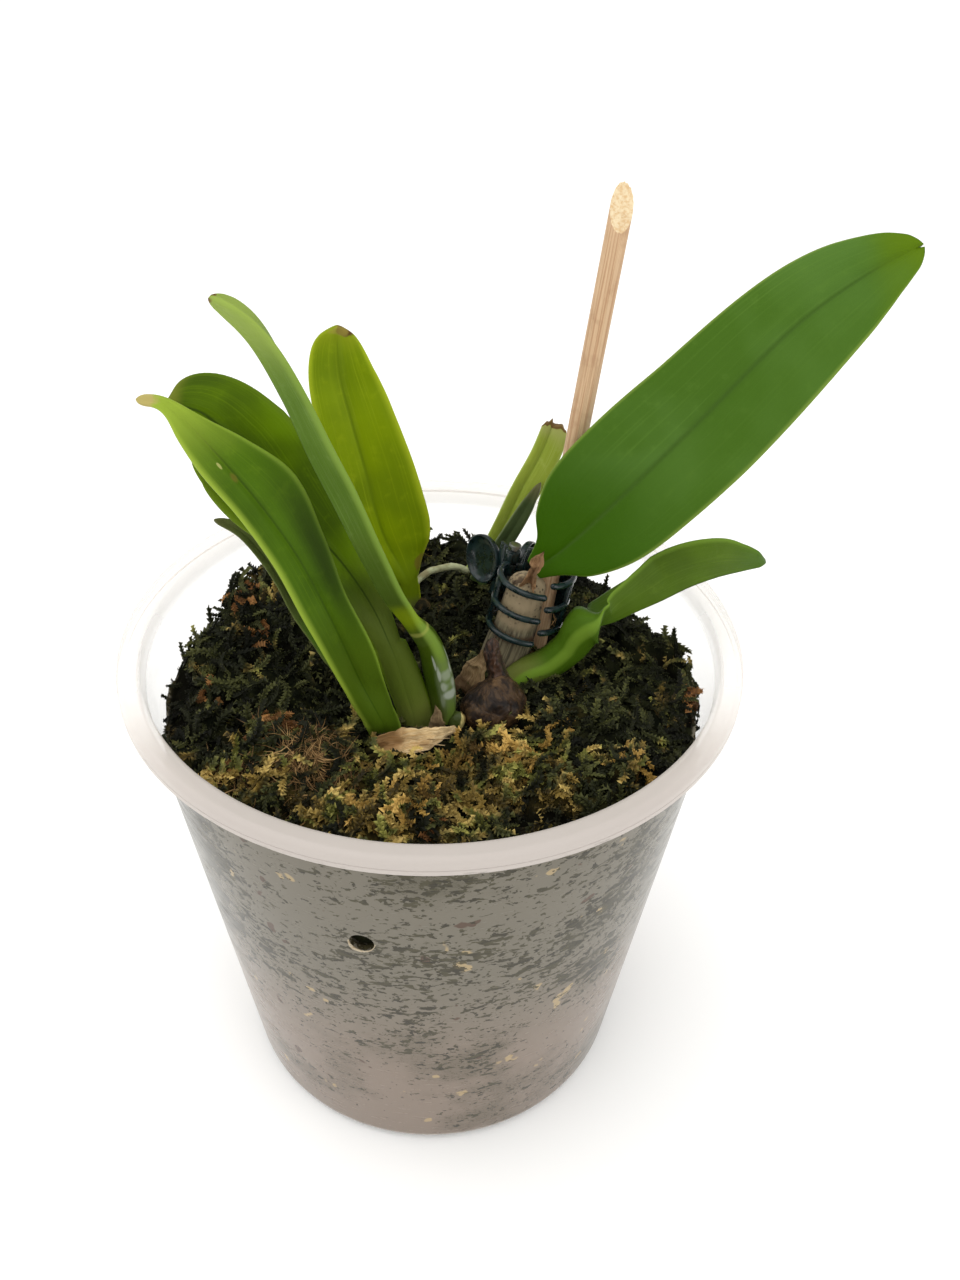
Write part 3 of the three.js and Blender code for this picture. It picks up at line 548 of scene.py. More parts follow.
# outline rows are [share of the length, left half width, right half width]; the tones and the bands
# are those of toneNames and bandNames; marks are [u, v, width, height, strength, colour, softness]
# on the blade's own map, where u runs from the right margin at 0 to the left one at 1
leaves = {
    "a": {
        "path": [
            (-10.1, -16.8, 99.4), (-12.8, -17, 106.8), (-17.4, -17, 121),
            (-22.8, -16.5, 134.6), (-31.7, -15, 148.6), (-40.6, -13, 157.9), (-44.6, -12.8, 158.6),
        ],
        "facing": [(0.3, -0.9, 0.2), (0.25, -0.88, 0.4), (-0.1, -0.7, 0.7)],
        "outline": [
            [0, 3], [0.19, 3.9, 4.8], [0.38, 4.5, 4.3], [0.52, 4.3, 5.6], [0.665, 4.1, 7.4],
            [0.78, 4.1, 5], [0.87, 3, 2.4], [0.935, 1.3, 1.3], [1, 0.8],
        ],
        "fold": [[0, 30], [0.4, 18], [1, 12]],
        "tones": [
            (72, 104, 8), (60, 88, 6), (102, 134, 20), (56, 82, 8),
            (150, 174, 60), (122, 150, 48), (160, 184, 62), (74, 98, 18),
        ],
        "bands": [0.17, 0.08, 0.7, 0.45],
        "marks": [
            [0.5, 1.0, 0.9, 0.05, 0.8, tone(182, 160, 104)],
            [0.62, 0.775, 0.028, 0.01, 0.6, tone(184, 180, 112)],
            [0.56, 0.735, 0.07, 0.016, 0.5, tone(118, 98, 42), 0.7],
            # a painted shade over the right half near the middle, where the folded blade lies in shadow
            [0.16, 0.49, 0.34, 0.3, 0.9, seen(36, 54, 2), 0.95],
        ],
    },
    "b": {
        "path": [
            (-8, -9.5, 110), (-10.9, -7.5, 116.7), (-16.3, -5, 124.8), (-22.6, -3, 131.5),
            (-28.3, -1.5, 137.9), (-32.6, -0.6, 144.4), (-37.4, -0.7, 150.2), (-43.2, -2, 152.6),
        ],
        "facing": [(0.2, -0.9, 0.3), (0.15, -0.85, 0.5), (-0.2, -0.6, 0.8)],
        "outline": [
            [0, 2.8, 2.2], [0.2, 4.5, 3.4], [0.35, 6.2, 5.2], [0.5, 7.6, 7.8], [0.62, 8.8, 9.8],
            [0.72, 8.9, 10.2], [0.82, 7.8, 9.2], [0.9, 6, 7.2], [0.96, 4, 4.8], [1, 1.4],
        ],
        "fold": [[0, 14]],
        "wave": 0.6,
        "tones": [
            (94, 124, 2), (64, 88, 4), (108, 138, 8), (46, 66, 8),
            (108, 134, 24), (90, 116, 14), (112, 122, 36), (88, 104, 34),
        ],
        "bands": [0.1, 0.06, 0.95, 0.3],
        "marks": [[0.6, 1.0, 0.5, 0.018, 0.7, tone(120, 96, 52)]],
    },
    "c": {
        "path": [
            (-1.4, -11, 111.8), (-7.2, -12, 120.7), (-11, -13, 130), (-14.7, -14, 140.6),
            (-18, -14.5, 149.8), (-21.6, -15, 160.8), (-25.9, -15, 169.6), (-31.3, -15, 175.4),
        ],
        "facing": [(0.7, 0.6, 0.3), (0.8, 0.5, 0.33), (0.85, 0.2, 0.4)],
        "outline": [
            [0, 2.3], [0.1, 3.3], [0.25, 4], [0.5, 5.1], [0.7, 4.5], [0.88, 4.8], [0.95, 4], [1, 1.2],
        ],
        "fold": [[0, 25]],
        # the tones are partly the underside's own bluish green and partly a painted bluish reflection of the
        # white surroundings
        "tones": [
            (92, 122, 38), (76, 106, 22), (130, 156, 86), (72, 100, 30),
            (122, 150, 58), (112, 142, 70), (148, 170, 76), (64, 84, 14),
        ],
        "bands": [0.12, 0.12, 0.72, 0.5],
        "marks": [
            [0.5, 1.0, 0.5, 0.012, 0.9, tone(104, 70, 36)],
            # a painted shade over the stem, which lies under the other stems and leaves
            [0.5, -0.15, 1.2, 0.17, 0.55, seen(46, 66, 12), 0.8],
            [0.6, 0.1, 0.9, 0.06, 0.6, seen(138, 158, 6), 0.8],
            # a painted highlight along the pale rim of the collar, where the blade opens from the stem
            [0.7, 0.045, 0.6, 0.01, 0.4, seen(196, 196, 100), 0.7],
            # a torn silvery skin on the stem, round its left margin: a grey-green film whose sheen is painted
            # as whitish streaks
            [0.93, -0.13, 0.17, 0.12, 0.55, seen(118, 132, 96), 0.8],
            [0.88, -0.055, 0.035, 0.032, 0.6, seen(190, 198, 184), 0.6],
            [0.92, -0.09, 0.05, 0.028, 0.6, seen(196, 203, 190), 0.6],
            [1.0, -0.1, 0.07, 0.022, 0.5, seen(178, 186, 168), 0.65],
            [0.95, -0.13, 0.06, 0.02, 0.55, seen(188, 196, 180), 0.6],
            [1.0, -0.16, 0.1, 0.018, 0.65, seen(198, 205, 194), 0.6],
            [0.9, -0.175, 0.07, 0.03, 0.4, seen(160, 170, 146), 0.7],
        ],
    },
    "d": {
        "path": [
            (-5.3, 22, 102.6), (-9.9, 22, 113.4), (-13.1, 22, 128.7),
            (-15.3, 22, 139.1), (-16.9, 22, 148), (-16.8, 22, 156.6),
        ],
        "facing": [(0.2, -0.95, 0.2), (0.1, -0.95, 0.3), (0.05, -0.85, 0.5)],
        "outline": [
            [0, 2.4], [0.05, 3.6, 4.8], [0.12, 5, 8.2], [0.22, 6.6, 9.9], [0.36, 7.5, 10],
            [0.56, 7, 9], [0.75, 6.4, 7.6], [0.88, 5.4, 6], [0.95, 4.2, 4.2], [1, 1.8],
        ],
        "fold": [[0, 12]],
        "slot": "leaf_pale",
        # the bright tones are partly painted light, for the light that shines through the thin leaf
        "tones": [
            (130, 154, 8), (112, 136, 8), (166, 184, 30), (106, 130, 10),
            (164, 182, 36), (166, 184, 34), (140, 156, 24), (110, 132, 14),
        ],
        "bands": [0.12, 0.1, 0.9, 0.1],
        "marks": [
            [0.22, 0.99, 0.42, 0.02, 0.95, tone(78, 44, 26)],
            [0.4, 1.0, 0.5, 0.03, 0.6, tone(150, 138, 60)],
            [0.1, 0.05, 0.16, 0.03, 0.55, tone(120, 90, 46)],
        ],
    },
    "e": {
        "path": [
            (-20.3, -2.6, 102.7), (-25.1, 0, 110.1), (-28, 1, 116.1),
            (-30.9, 1.7, 121.5), (-34.4, 2, 126.2), (-38.7, 2, 128.8),
        ],
        "facing": [(0.3, -0.8, 0.4), (0.3, -0.8, 0.5), (0, -0.7, 0.7)],
        "outline": [
            [0, 2], [0.25, 1.6, 3.8], [0.5, 1.1, 3.6], [0.7, 1.1, 2.8], [0.85, 1, 1.9], [1, 0.6],
        ],
        "fold": [[0, 20]],
        "tones": [
            (94, 106, 48), (76, 88, 40), (116, 134, 62), (68, 82, 36),
            (104, 116, 60), (84, 112, 32), (96, 100, 56), (76, 108, 26),
        ],
        "bands": [0.15, 0.35, 0.8, 0.4],
    },
    "f": {
        "path": [
            (19.3, 7.2, 114.9), (24, 6.8, 119), (31.6, 5.9, 128.1), (44.6, 3.7, 145.9),
            (59.2, 0.3, 166.9), (68.2, -1.4, 175.5), (73.2, -2.7, 179.2),
        ],
        "facing": [(-0.25, -0.93, 0.27), (-0.35, -0.85, 0.38), (-0.5, -0.7, 0.5)],
        "outline": [
            [0, 2.2], [0.05, 4.9, 4], [0.1, 9, 7.4], [0.2, 12.6, 10.6], [0.35, 13, 11.8],
            [0.55, 11.3, 12], [0.75, 9.3, 11], [0.87, 7.4, 8.7], [0.95, 4.6, 5.3], [1, 1.6, 2],
        ],
        "fold": [[0, 14]],
        "notch": 1,
        "tones": [
            (82, 118, 44), (70, 106, 26), (94, 130, 48), (66, 98, 30),
            (116, 142, 56), (120, 146, 60), (90, 120, 8), (56, 94, 4),
        ],
        # the fifth band is the share of painted shade on the blade's right half
        "bands": [0.03, 0.04, 0.88, 0.4, 0.45],
    },
    "g": {
        "path": [
            (29.9, 1.6, 106), (34.3, 2, 107.2), (38.2, 2, 109.5), (42.6, 2, 112.1),
            (47.7, 2, 115.4), (52.5, 2, 117.5), (57.4, 2, 118.9), (61.6, 2, 120),
        ],
        "facing": [(-0.5, 0.3, 0.7), (-0.38, 0.7, 0.62), (-0.3, 0.4, 0.8)],
        "outline": [
            [0, 4.3], [0.05, 5.7], [0.12, 6.9, 6.6], [0.25, 7.8, 7.4], [0.45, 8.8], [0.65, 9.4, 9.8],
            [0.8, 8.6, 9.4], [0.9, 6.4, 7], [0.97, 3.2, 3.6], [1, 1],
        ],
        "fold": [[0, 22], [0.25, 44], [0.5, 46], [1, 36]],
        "opening": 0.08,
        "tones": [
            (86, 116, 20), (72, 98, 18), (110, 138, 44), (54, 76, 22),
            (102, 134, 38), (110, 142, 44), (66, 102, 2), (72, 104, 18),
        ],
        "bands": [0.05, 0.05, 0.78, 0.2],
    },
    "h": {
        "path": [
            (10.2, 32, 97.6), (11.7, 32, 101.7), (14.8, 32, 108.9),
            (18.4, 32, 118.3), (21.7, 32, 125.9), (24.1, 32, 133.4),
        ],
        "facing": [(-0.2, -0.95, 0.2)] * 3,
        "outline": [
            [0, 2.2, 2.6], [0.3, 2.2, 3.2], [0.5, 2.2, 3.9], [0.75, 2.1, 4.1], [0.93, 2, 3.9], [1, 2, 3.1],
        ],
        "fold": [[0, 14]],
        "cut": 0.05,
        "slot": "leaf_pale",
        # the very bright tones are partly painted light, for the light that shines through the thin leaf
        "tones": [
            (190, 208, 76), (160, 178, 66), (212, 224, 124), (166, 186, 74),
            (190, 204, 116), (180, 196, 98), (180, 186, 104), (118, 138, 58),
        ],
        "bands": [0.08, 0.08, 0.9, 0.2],
        "marks": [[0.5, 1.0, 0.9, 0.024, 0.95, tone(112, 84, 50)]],
    },
    "h2": {
        "path": [(9.7, 29, 97.2), (13.3, 28.6, 104), (18, 28.6, 113.2), (21.8, 28.6, 121.4)],
        "facing": [(-0.3, -0.9, 0.2)] * 3,
        "outline": [[0, 2], [0.4, 1.9], [0.75, 1.6], [0.92, 0.9], [1, 0.5]],
        "fold": [[0, 16]],
        # the dark grey tones are painted shade: the blade's underside lies in shadow
        "tones": [
            (84, 98, 60), (64, 80, 44), (112, 126, 84), (72, 88, 50),
            (122, 134, 90), (98, 112, 72), (108, 108, 72), (80, 98, 52),
        ],
        "bands": [0.15, 0.1, 0.8, 0.1],
    },
}
bladeForm = {
    "thick": 1.6, "edge": 0.8, "halfColumns": 15, "rows": 96, "footRows": 26, "keel": 0.3, "groove": 0.3,
    "foldRound": 0.06, "ripple": 0.35, "rippleSize": 17, "tipRound": 1.6, "seam": 0.14, "footMap": 0.3,
}


def acrossShares(half):
    # places across a blade, closer together at the midrib and the margins
    side = [0.5 * (1 - math.cos(math.pi * k / half)) for k in range(half + 1)]
    return [-u for u in side[:0:-1]] + side


def blade(name, part, form=bladeForm, ragged=None, stem=None):
    # a blade, and under it the stem that it grows out of, as one skin;
    # ragged(u, s) moves a corner along the blade, for torn ends
    path = stem["path"] + part["path"][1:] if stem else part["path"]
    track = SmoothPath(path)
    footShare = SmoothPath(stem["path"]).length / track.length if stem else 0.0
    rows = form["rows"]
    shares = acrossShares(form["halfColumns"])
    stations = [t - 0.75 * math.sin(2 * math.pi * t) / (2 * math.pi) for t in spread(rows)]
    if stem:
        stations = [k - 1 for k in spread(form["footRows"])][:-1] + stations
    wave, notch, opening = part.get("wave", 0), part.get("notch", 0), part.get("opening", 0.14)
    thick, edge, foldRound = form["thick"], form["edge"], form["foldRound"]
    seed = sum(map(ord, name))
    upper, lower, rowUv = [], [], []
    for s in stations:
        # s runs from -1 at the stem's foot over 0 where the blade starts to 1 at its tip
        place = footShare * (1 + s) if s < 0 else footShare + (1 - footShare) * s
        centre, forward = track.at(place), track.forward(place)
        up = facingAt(part["facing"], max(s, 0.0))
        if s < 0 and stem.get("flat", 1) < 0.85:
            up = up.normalized().lerp(Vector((0, -1, 0)), smoothStep(0, -0.6, s))
        up = (up - forward * up.dot(forward)).normalized()
        side = up.cross(forward)
        opened = smoothStep(0, opening, s) if stem else 1.0
        fold = math.radians(along(part["fold"], max(s, 0.0))) * opened
        toTip = (1 - s) * track.length * (1 - footShare)
        ends = 1.0 if "cut" in part else domed(toTip / form["tipRound"])
        ahead = (s - 0.9) * 10 * notch if s > 0.9 else 0
        if stem:
            stemHalf = along(stem["radii"], min(1.0, 1 + s))
            depth = stemHalf * stem.get("flat", 1)
        for u in shares:
            half = stemHalf if s < 0 else along(part["outline"], s, 1 if u > 0 else 2) * ends
            spine = math.sqrt(u * u + foldRound**2) - foldRound  # the fold is tight but not sharp
            ripple = wave * u * abs(u) * math.sin(3 * math.pi * s) * opened
            uneven = bump(centre.x + 9 * u, centre.y + seed, centre.z, form["rippleSize"])
            ripple += form["ripple"] * uneven * min(1, half / 5) * opened
            body = (edge + (thick - edge) * (1 - u * u)) * math.sqrt(max(0.0, 1 - abs(u) ** 14))
            body *= 0.35 + 0.65 * ends
            lift = half * spine * math.sin(fold) + ripple
            slide = ahead * abs(u) + (ragged(u, s) if ragged else 0)
            base = centre + side * (half * u * math.cos(fold)) + forward * slide
            crease = opened * min(1, half / 4)
            above = lift + body / 2 - form["groove"] * math.exp(-((u * half / 0.55) ** 2)) * crease
            below = lift - body / 2 - form["keel"] * math.exp(-((u * half / 0.8) ** 2)) * crease
            if stem and opened < 1:
                # an oval with a closed seam along its front, which opens into the blade
                oval = depth * math.sqrt(max(0.0, 1 - u * u))
                seam = form["seam"] * math.exp(-((u * half / 0.5) ** 2)) * smoothStep(-1, -0.3, s)
                above = above * opened + (oval - seam) * (1 - opened)
                below = below * opened - oval * (1 - opened)
            upper.append(base + up * above)
            lower.append(base + up * below)
            rowUv.append(((u + 1) / 2, s if s > 0 else form["footMap"] * s))
    rows = len(stations) - 1
    count = len(shares)
    offset = len(upper)
    faces, uvs, under = [], [], []

    def addFace(face, isUnder):
        faces.append(face)
        uvs.extend(rowUv[i % offset] for i in face)
        under.append(isUnder)

    for i in range(rows):
        shade = 1.0 if stations[i] > 0 else 0.0
        for j in range(count - 1):
            a, b = i * count + j, i * count + j + 1
            addFace([a, b, b + count, a + count], 0.0)
            addFace([offset + a, offset + a + count, offset + b + count, offset + b], shade)
        for j in (0, count - 1):
            a = i * count + j
            addFace([a, a + count, offset + a + count, offset + a], shade)
    for i in (0, rows):
        for j in range(count - 1):
            a = i * count + j
            addFace([a, a + 1, offset + a + 1, offset + a], 0.0)
    piece = makeObject(name, upper + lower, faces, uvs)
    mark = piece.data.attributes.new("under", "FLOAT", "FACE")
    mark.data.foreach_set("value", under)
    return pointOut(piece, seam=0.004)


def leafMaterial(name, part):
    material, tree, shader = newMaterial(
        name, Specular_IOR_Level=0.07, Coat_Weight=0.02, Coat_Roughness=0.25
    )
    tones = dict(zip(toneNames, (seen(*rgb) for rgb in part["tones"])), under=stored(tree, "under"))
    out = useGroup(tree, tissue, **tones, **dict(zip(bandNames, part["bands"])))
    color = out["Color"]
    for u, v, wide, tall, strength, stain, *soft in part.get("marks", []):
        share = times(tree, spotOn(tree, u, v, wide, tall, *soft), strength)
        color = mixTone(tree, share, color, stain)
    wire(tree, shader, Base_Color=color, Roughness=out["Gloss"], height=(out["Height"], 0.00012))
    return material


def tornEnd(depth, seed):
    # an uneven end: the last part of the blade is cut back more or less across its width
    def ragged(u, s):
        if s < 1 - depth:
            return 0
        return (s - 1 + depth) / depth * (1.4 * bump(u * 3, seed, 0, 1) - 0.8 * abs(u))

    return ragged


# the stem under each leaf; radii are [share of the length, half width], flat is depth to width
stems = {
    "a": {
        "node": "stem_a",
        "path": [(-8.5, -15, 91), (-9, -15.8, 95), (-10, -16.6, 99)],
        "radii": [[0, 3], [1, 3.1]],
        "flat": 0.75,
    },
    "b": {
        "node": "stem_b",
        "path": [(-3.2, -12.2, 90), (-3.6, -11.5, 96), (-5.6, -10.5, 103), (-8, -9.6, 110)],
        "radii": [[0, 3], [0.5, 3.4], [1, 3]],
        "flat": 0.7,
    },
    "c": {
        "node": "stem_c",
        "path": [(1.4, -10.6, 90), (1.6, -10.4, 97), (0.6, -10.6, 105), (-1.2, -11, 112)],
        "radii": [[0, 2.3], [0.5, 2.9], [1, 2.3]],
        "flat": 0.9,
    },
    "d": {
        "node": "stem_d",
        "path": [(-4.6, 22, 96), (-4.8, 22, 99.4), (-5.3, 22, 102.6)],
        "radii": [[0, 2.2]],
        "flat": 0.8,
    },
    "e": {
        "node": "stem_e",
        "path": [(-12.8, -5.2, 91), (-15.6, -4.2, 97), (-18.8, -3.2, 102)],
        "radii": [[0, 1.9]],
        "flat": 0.8,
    },
    "h": {
        "node": "stem_h",
        "path": [(7, 31.4, 90), (7.8, 31.6, 94.5), (9.6, 31.8, 98.6)],
        "radii": [[0, 2.3], [1, 2.2]],
        "flat": 0.7,
    },
    "g": {
        "node": "sheath_g",
        "path": [(14.6, -0.6, 91.5), (17.4, 0.4, 94.6), (22.5, 1, 97), (26.4, 1, 101), (29.2, 1, 106)],
        "radii": [[0, 2.8], [0.5, 3.2], [0.85, 3.6], [1, 4.1]],
    },
}
for key, part in leaves.items():
    stem = stems.get(key)
    ragged = tornEnd(part["cut"], 4.5) if "cut" in part else None
    leaf = blade("leaf_" + key + "_blade", part, ragged=ragged, stem=stem)
    leaf.data.materials.append(leafMaterial("leafFinish_" + key, part))
    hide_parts("leaf_" + key, *([stem["node"]] if stem else []))
    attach(leaf, plantBody)
print("leaves made")


def stemBody(name, part, form, skin):
    # a round stem that closes softly at its top; skin(turn, s) adds to the radius
    def section(s):
        size = along(part["radii"], s)
        close = domed((1 - s) / form["domeShare"], 0.01)
        ring = []
        for turn in turnsOf(form["sides"]):
            extra = form["ribDepth"] * math.sin(form["ribs"] * turn + 2.5 * s)
            extra += 0.12 * bump(3 * math.cos(turn), 3 * math.sin(turn), 12 * s, 3)
            r = (size + (extra + skin(turn, s))) * close
            ring.append([r * math.cos(turn), r * math.sin(turn)])
        return ring

    return sweep(name, part["path"], spread(form["rows"]), front, section)


# the old cane, its scar, the bulb and the bud

cane = {
    "path": [(12.6, 5.4, 92), (15.2, 6, 98.8), (17.6, 6.8, 109), (18.5, 7.1, 113.6)],
    "radii": [[0, 4], [0.25, 4.3], [0.8, 3.8], [1, 3.4]],
    "scar": {"centre": (16.9, 6.3, 111.9), "radii": (2.1, 2.0, 2.1)},
}
bulb = {
    "centre": (11.6, -8.6, 94.5),
    "radii": (6.2, 5.4, 5),
    "tilt": -14,
    "neck": {
        "path": [(12.6, -7.6, 97), (12, -6.6, 101), (10.8, -5.6, 104.5), (11.2, -4.9, 107.5)],
        "radii": [[0, 3.2], [0.35, 1.7], [0.75, 1.5], [1, 0.9]],
    },
}
bud = {"centre": (4.2, -12.2, 93.4), "radii": (1.7, 1.5, 2.1), "tilt": 20}
caneForm = {"rows": 90, "sides": 64, "ribs": 9, "ribDepth": 0, "domeShare": 0.1}
neckForm = dict(caneForm, rows=60, sides=36)


def turnFromFront(way):
    return math.atan2(way.x, -way.y)


def lump(name, part, roughen, subdivisions):
    # an uneven ball; roughen(direction) is the share added to its size
    tool = bmesh.new()
    bmesh.ops.create_icosphere(tool, subdivisions=subdivisions, radius=1)
    turn = Matrix.Rotation(math.radians(part.get("tilt", 0)), 4, "Y")
    ways = [vertex.co.copy() for vertex in tool.verts]
    for vertex, way in zip(tool.verts, ways):
        size = 1 + roughen(way)
        place = Vector(c * r * size for c, r in zip(way, part["radii"]))
        vertex.co = (turn @ place + Vector(part["centre"])) * mm
    mesh = bpy.data.meshes.new(name)
    tool.to_mesh(mesh)
    tool.free()
    # longitude and latitude, with the seam behind
    layer = mesh.uv_layers.new(name="UVMap")
    for polygon in mesh.polygons:
        middle = turnFromFront(sum((ways[i] for i in polygon.vertices), Vector()))
        for corner in polygon.loop_indices:
            way = ways[mesh.loops[corner].vertex_index]
            turn = turnFromFront(way)
            turn += 2 * math.pi * round((middle - turn) / (2 * math.pi))
            fromTop = math.acos(max(-1.0, min(1.0, way.z)))
            layer.data[corner].uv = (0.5 + turn / (2 * math.pi), fromTop / math.pi)
    mesh.polygons.foreach_set("use_smooth", [True] * len(mesh.polygons))
    piece = bpy.data.objects.new(name, mesh)
    bpy.context.scene.collection.objects.link(piece)
    return piece


def caneSkin(turn, s):
    # lengthwise wrinkles, a ring where the papery sheath ends, and a swollen foot
    wrinkle = 0.11 * math.sin(13 * turn + 1.5 * math.sin(5 * s)) + 0.07 * math.sin(23 * turn + 4 * s)
    sheathEnd = 0.28 * smoothStep(0.46, 0.42, s + 0.05 * math.sin(turn * 2 + 1) + 0.02 * math.sin(7 * turn))
    return wrinkle * (0.4 + 0.6 * smoothStep(0.75, 0.4, s)) + sheathEnd


def scarShape(way):
    dent = 0.12 * math.exp(-((way.x**2 + way.z**2) / 0.22)) * (way.y < 0)
    return 0.05 * bump(*way, 0.35) - dent


def bulbShape(way):
    flank = math.sqrt(max(0.0, 1 - way.z**2))
    turn = turnFromFront(way) + 0.5 * bump(*way, 0.9)
    furrow = 0.012 * flank * math.sin(9 * turn + 1.2) + 0.006 * flank * math.sin(21 * turn)
    furrow -= 0.05 * flank * math.exp(-(((turn - 0.35 - 0.3 * way.z) / 0.1) ** 2))
    lobe = 0.12 * math.exp(-((way - Vector((-0.8, -0.4, -0.3))).length_squared) / 0.5)
    drawnUp = 0.3 * math.exp(-((way - Vector((0.3, 0.1, 0.95))).length_squared) / 0.16)
    return furrow + lobe + drawnUp + 0.08 * bump(*way, 0.6) + 0.02 * bump(*way, 0.14)


def neckSkin(turn, s):
    return 0.2 * math.sin(5 * turn + 6 * s) * (1 - 0.4 * s) + 0.15 * bump(turn, s * 14, 3.0, 1.0)


stalk = stemBody("cane_stalk", cane, caneForm, caneSkin)
scar = lump("cane_scar", cane["scar"], scarShape, 4)
caneFinish, tree, shader = newMaterial("caneFinish", Roughness=0.82)
uv = surfacePlace(tree)
y = separate(tree, uv)[1]
streak = patches(tree, moved(tree, uv, scale=(52, 2.2, 1)), 1.0, 4.0, 0.6)
speck = useGroup(tree, flecks, base=seen(162, 144, 112), fleck=seen(66, 50, 36), size=1100.0)
lower = blend(tree, streak, 0.4, 0.62, seen(132, 122, 94), seen(74, 68, 50))
lower = blend(tree, y, 0.2, 0.02, lower, seen(66, 54, 38))
wander = plus(tree, y, swing(tree, streak, 0.12))
color = blend(tree, wander, 0.5, 0.6, lower, speck["Color"])
edgeLine = times(tree, remap(tree, wander, 0.38, 0.43), remap(tree, wander, 0.5, 0.45))
color = mixTone(tree, edgeLine, color, seen(84, 58, 36))
wire(tree, shader, Base_Color=color, height=(streak, 0.0003))
scarFinish, tree, shader = newMaterial("scarFinish", Roughness=0.85)
speck = useGroup(tree, flecks, base=seen(164, 144, 110), fleck=seen(78, 54, 36), size=1500.0)
fromScar = moved(tree, objectPlace(tree), shift=tuple(-c * mm for c in cane["scar"]["centre"]))
reach = vectorCalc(tree, "LENGTH", moved(tree, fromScar, scale=(1, 0.4, 1)), result="Value")
reach = plus(tree, reach, times(tree, patches(tree, objectPlace(tree), 900, 3.0), 0.0008))
ring = times(tree, remap(tree, reach, 0.0017, 0.002), remap(tree, reach, 0.0026, 0.0023))
color = mixTone(tree, times(tree, ring, 0.8), speck["Color"], seen(64, 44, 28))
wire(tree, shader, Base_Color=color, height=(patches(tree, objectPlace(tree), 1500, 3.0), 0.0003))
stalk.data.materials.append(caneFinish)
scar.data.materials.append(scarFinish)
oldCane = joinPieces("cane_old", [stalk, scar])
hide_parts("cane")
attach(oldCane, plantBody)

bulbBody = lump("bulb_body", bulb, bulbShape, 6)
neck = stemBody("bulb_neck", bulb["neck"], neckForm, neckSkin)
bulbFinish, tree, shader = newMaterial("bulbFinish", Roughness=0.4, Specular_IOR_Level=0.4)
place = objectPlace(tree)
wrinkles = patches(tree, moved(tree, surfacePlace(tree), scale=(13, 5, 1)), 1.0, 5.0, 0.65, 1.6)
blot = patches(tree, place, 260, 3.0)
color = blend(tree, wrinkles, 0.4, 0.62, seen(44, 31, 22), seen(84, 62, 40))
color = blend(tree, blot, 0.54, 0.66, color, seen(124, 94, 60), 0.6)
color = blend(tree, blot, 0.46, 0.36, color, seen(26, 18, 14), 0.9)
wire(tree, shader, Base_Color=color, height=(wrinkles, 0.0005))
neckFinish, tree, shader = newMaterial("neckFinish", Roughness=0.45, Coat_Weight=0.2)
place = objectPlace(tree)
wrinkles = patches(tree, moved(tree, place, scale=(1, 1, 0.3)), 900, 4.0, 0.6, 0.8)
color = blend(tree, wrinkles, 0.4, 0.6, seen(34, 22, 16), seen(82, 54, 36))
color = blend(tree, wrinkles, 0.64, 0.68, color, seen(190, 176, 164))
wire(tree, shader, Base_Color=color, height=(wrinkles, 0.0008))
bulbBody.data.materials.append(bulbFinish)
neck.data.materials.append(neckFinish)
oldBulb = joinPieces("bulb_old", [bulbBody, neck])
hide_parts("back_bulb")
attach(oldBulb, plantBody)


def budShape(way):
    turn = math.atan2(way.y, way.x)
    return 0.05 * math.sin(5 * turn + 2 * way.z) + 0.12 * way.z**3


budBall = lump("bud_scales", bud, budShape, 4)
budFinish, tree, shader = newMaterial("budFinish", Roughness=0.5)
place = objectPlace(tree)
# green, with the dry rim of its outer scale curled over to the right
across = separate(tree, surfacePlace(tree))[0]
across = plus(tree, across, times(tree, patches(tree, place, 420, 3.0), 0.1))
color = blend(tree, across, 0.58, 0.62, seen(70, 84, 26), seen(222, 204, 130))
color = blend(tree, across, 0.7, 0.76, color, seen(128, 104, 56))
wire(tree, shader, Base_Color=color, height=(patches(tree, place, 1200, 3.0), 0.0002))
budBall.data.materials.append(budFinish)
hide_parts("bud")
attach(budBall, plantBody)
print("cane and bulb made")


# roots and the creeping stem

roots = {
    "runs": [
        ([(-8.5, -15, 90.5), (-2, -11.5, 89.5), (5, -6, 89.5), (11, 1, 90), (13.5, 7, 90.5)], 2.6, 2.6),
        ([(11.5, 2, 90), (9, 10, 91), (4, 18, 94), (-4, 22, 97)], 1.9, 1.6),
        ([(4, 18, 94), (7, 25, 92.5), (7.5, 31.5, 91)], 2.0, 2.0),
        ([(-8.5, -15, 90.5), (-12, -9, 90.5), (-16, -5, 92)], 1.8, 1.8),
        ([(-7, -14, 89.5), (-12, -22, 78), (-24, -31, 60), (-28, -29, 38), (-20, -24, 18)], 1.8, 1.1),
        ([(-1, -10, 89), (-4, -20, 74), (2, -36, 58), (12, -38, 40), (14, -33, 22)], 1.8, 1.1),
        ([(9, -2, 89), (18, -12, 76), (34, -22, 62), (38, -14, 42), (30, -6, 20)], 1.8, 1.1),
        ([(6, 14, 92), (16, 22, 76), (30, 28, 58), (26, 34, 36), (12, 33, 18)], 1.8, 1.1),
        ([(-1, 20, 94), (-12, 28, 78), (-28, 30, 60), (-36, 16, 40), (-30, 6, 20)], 1.8, 1.1),
    ],
    "aerial": ([(-4.6, 21, 101.5), (-0.5, 25, 102.4), (4.5, 27.4, 102), (8, 28.4, 100)], 0.75, 0.75),
}
rootForm = {"rows": 30, "sides": 14, "ribs": 9, "ribDepth": 0.03, "domeShare": 0.05}


def rootRun(name, run):
    path, first, last = run
    part = {"path": path, "radii": [[0, first], [1, last]]}
    return stemBody(name, part, rootForm, lambda turn, s: 0.12 * bump(turn, s * 30, 7.0, 1.3))


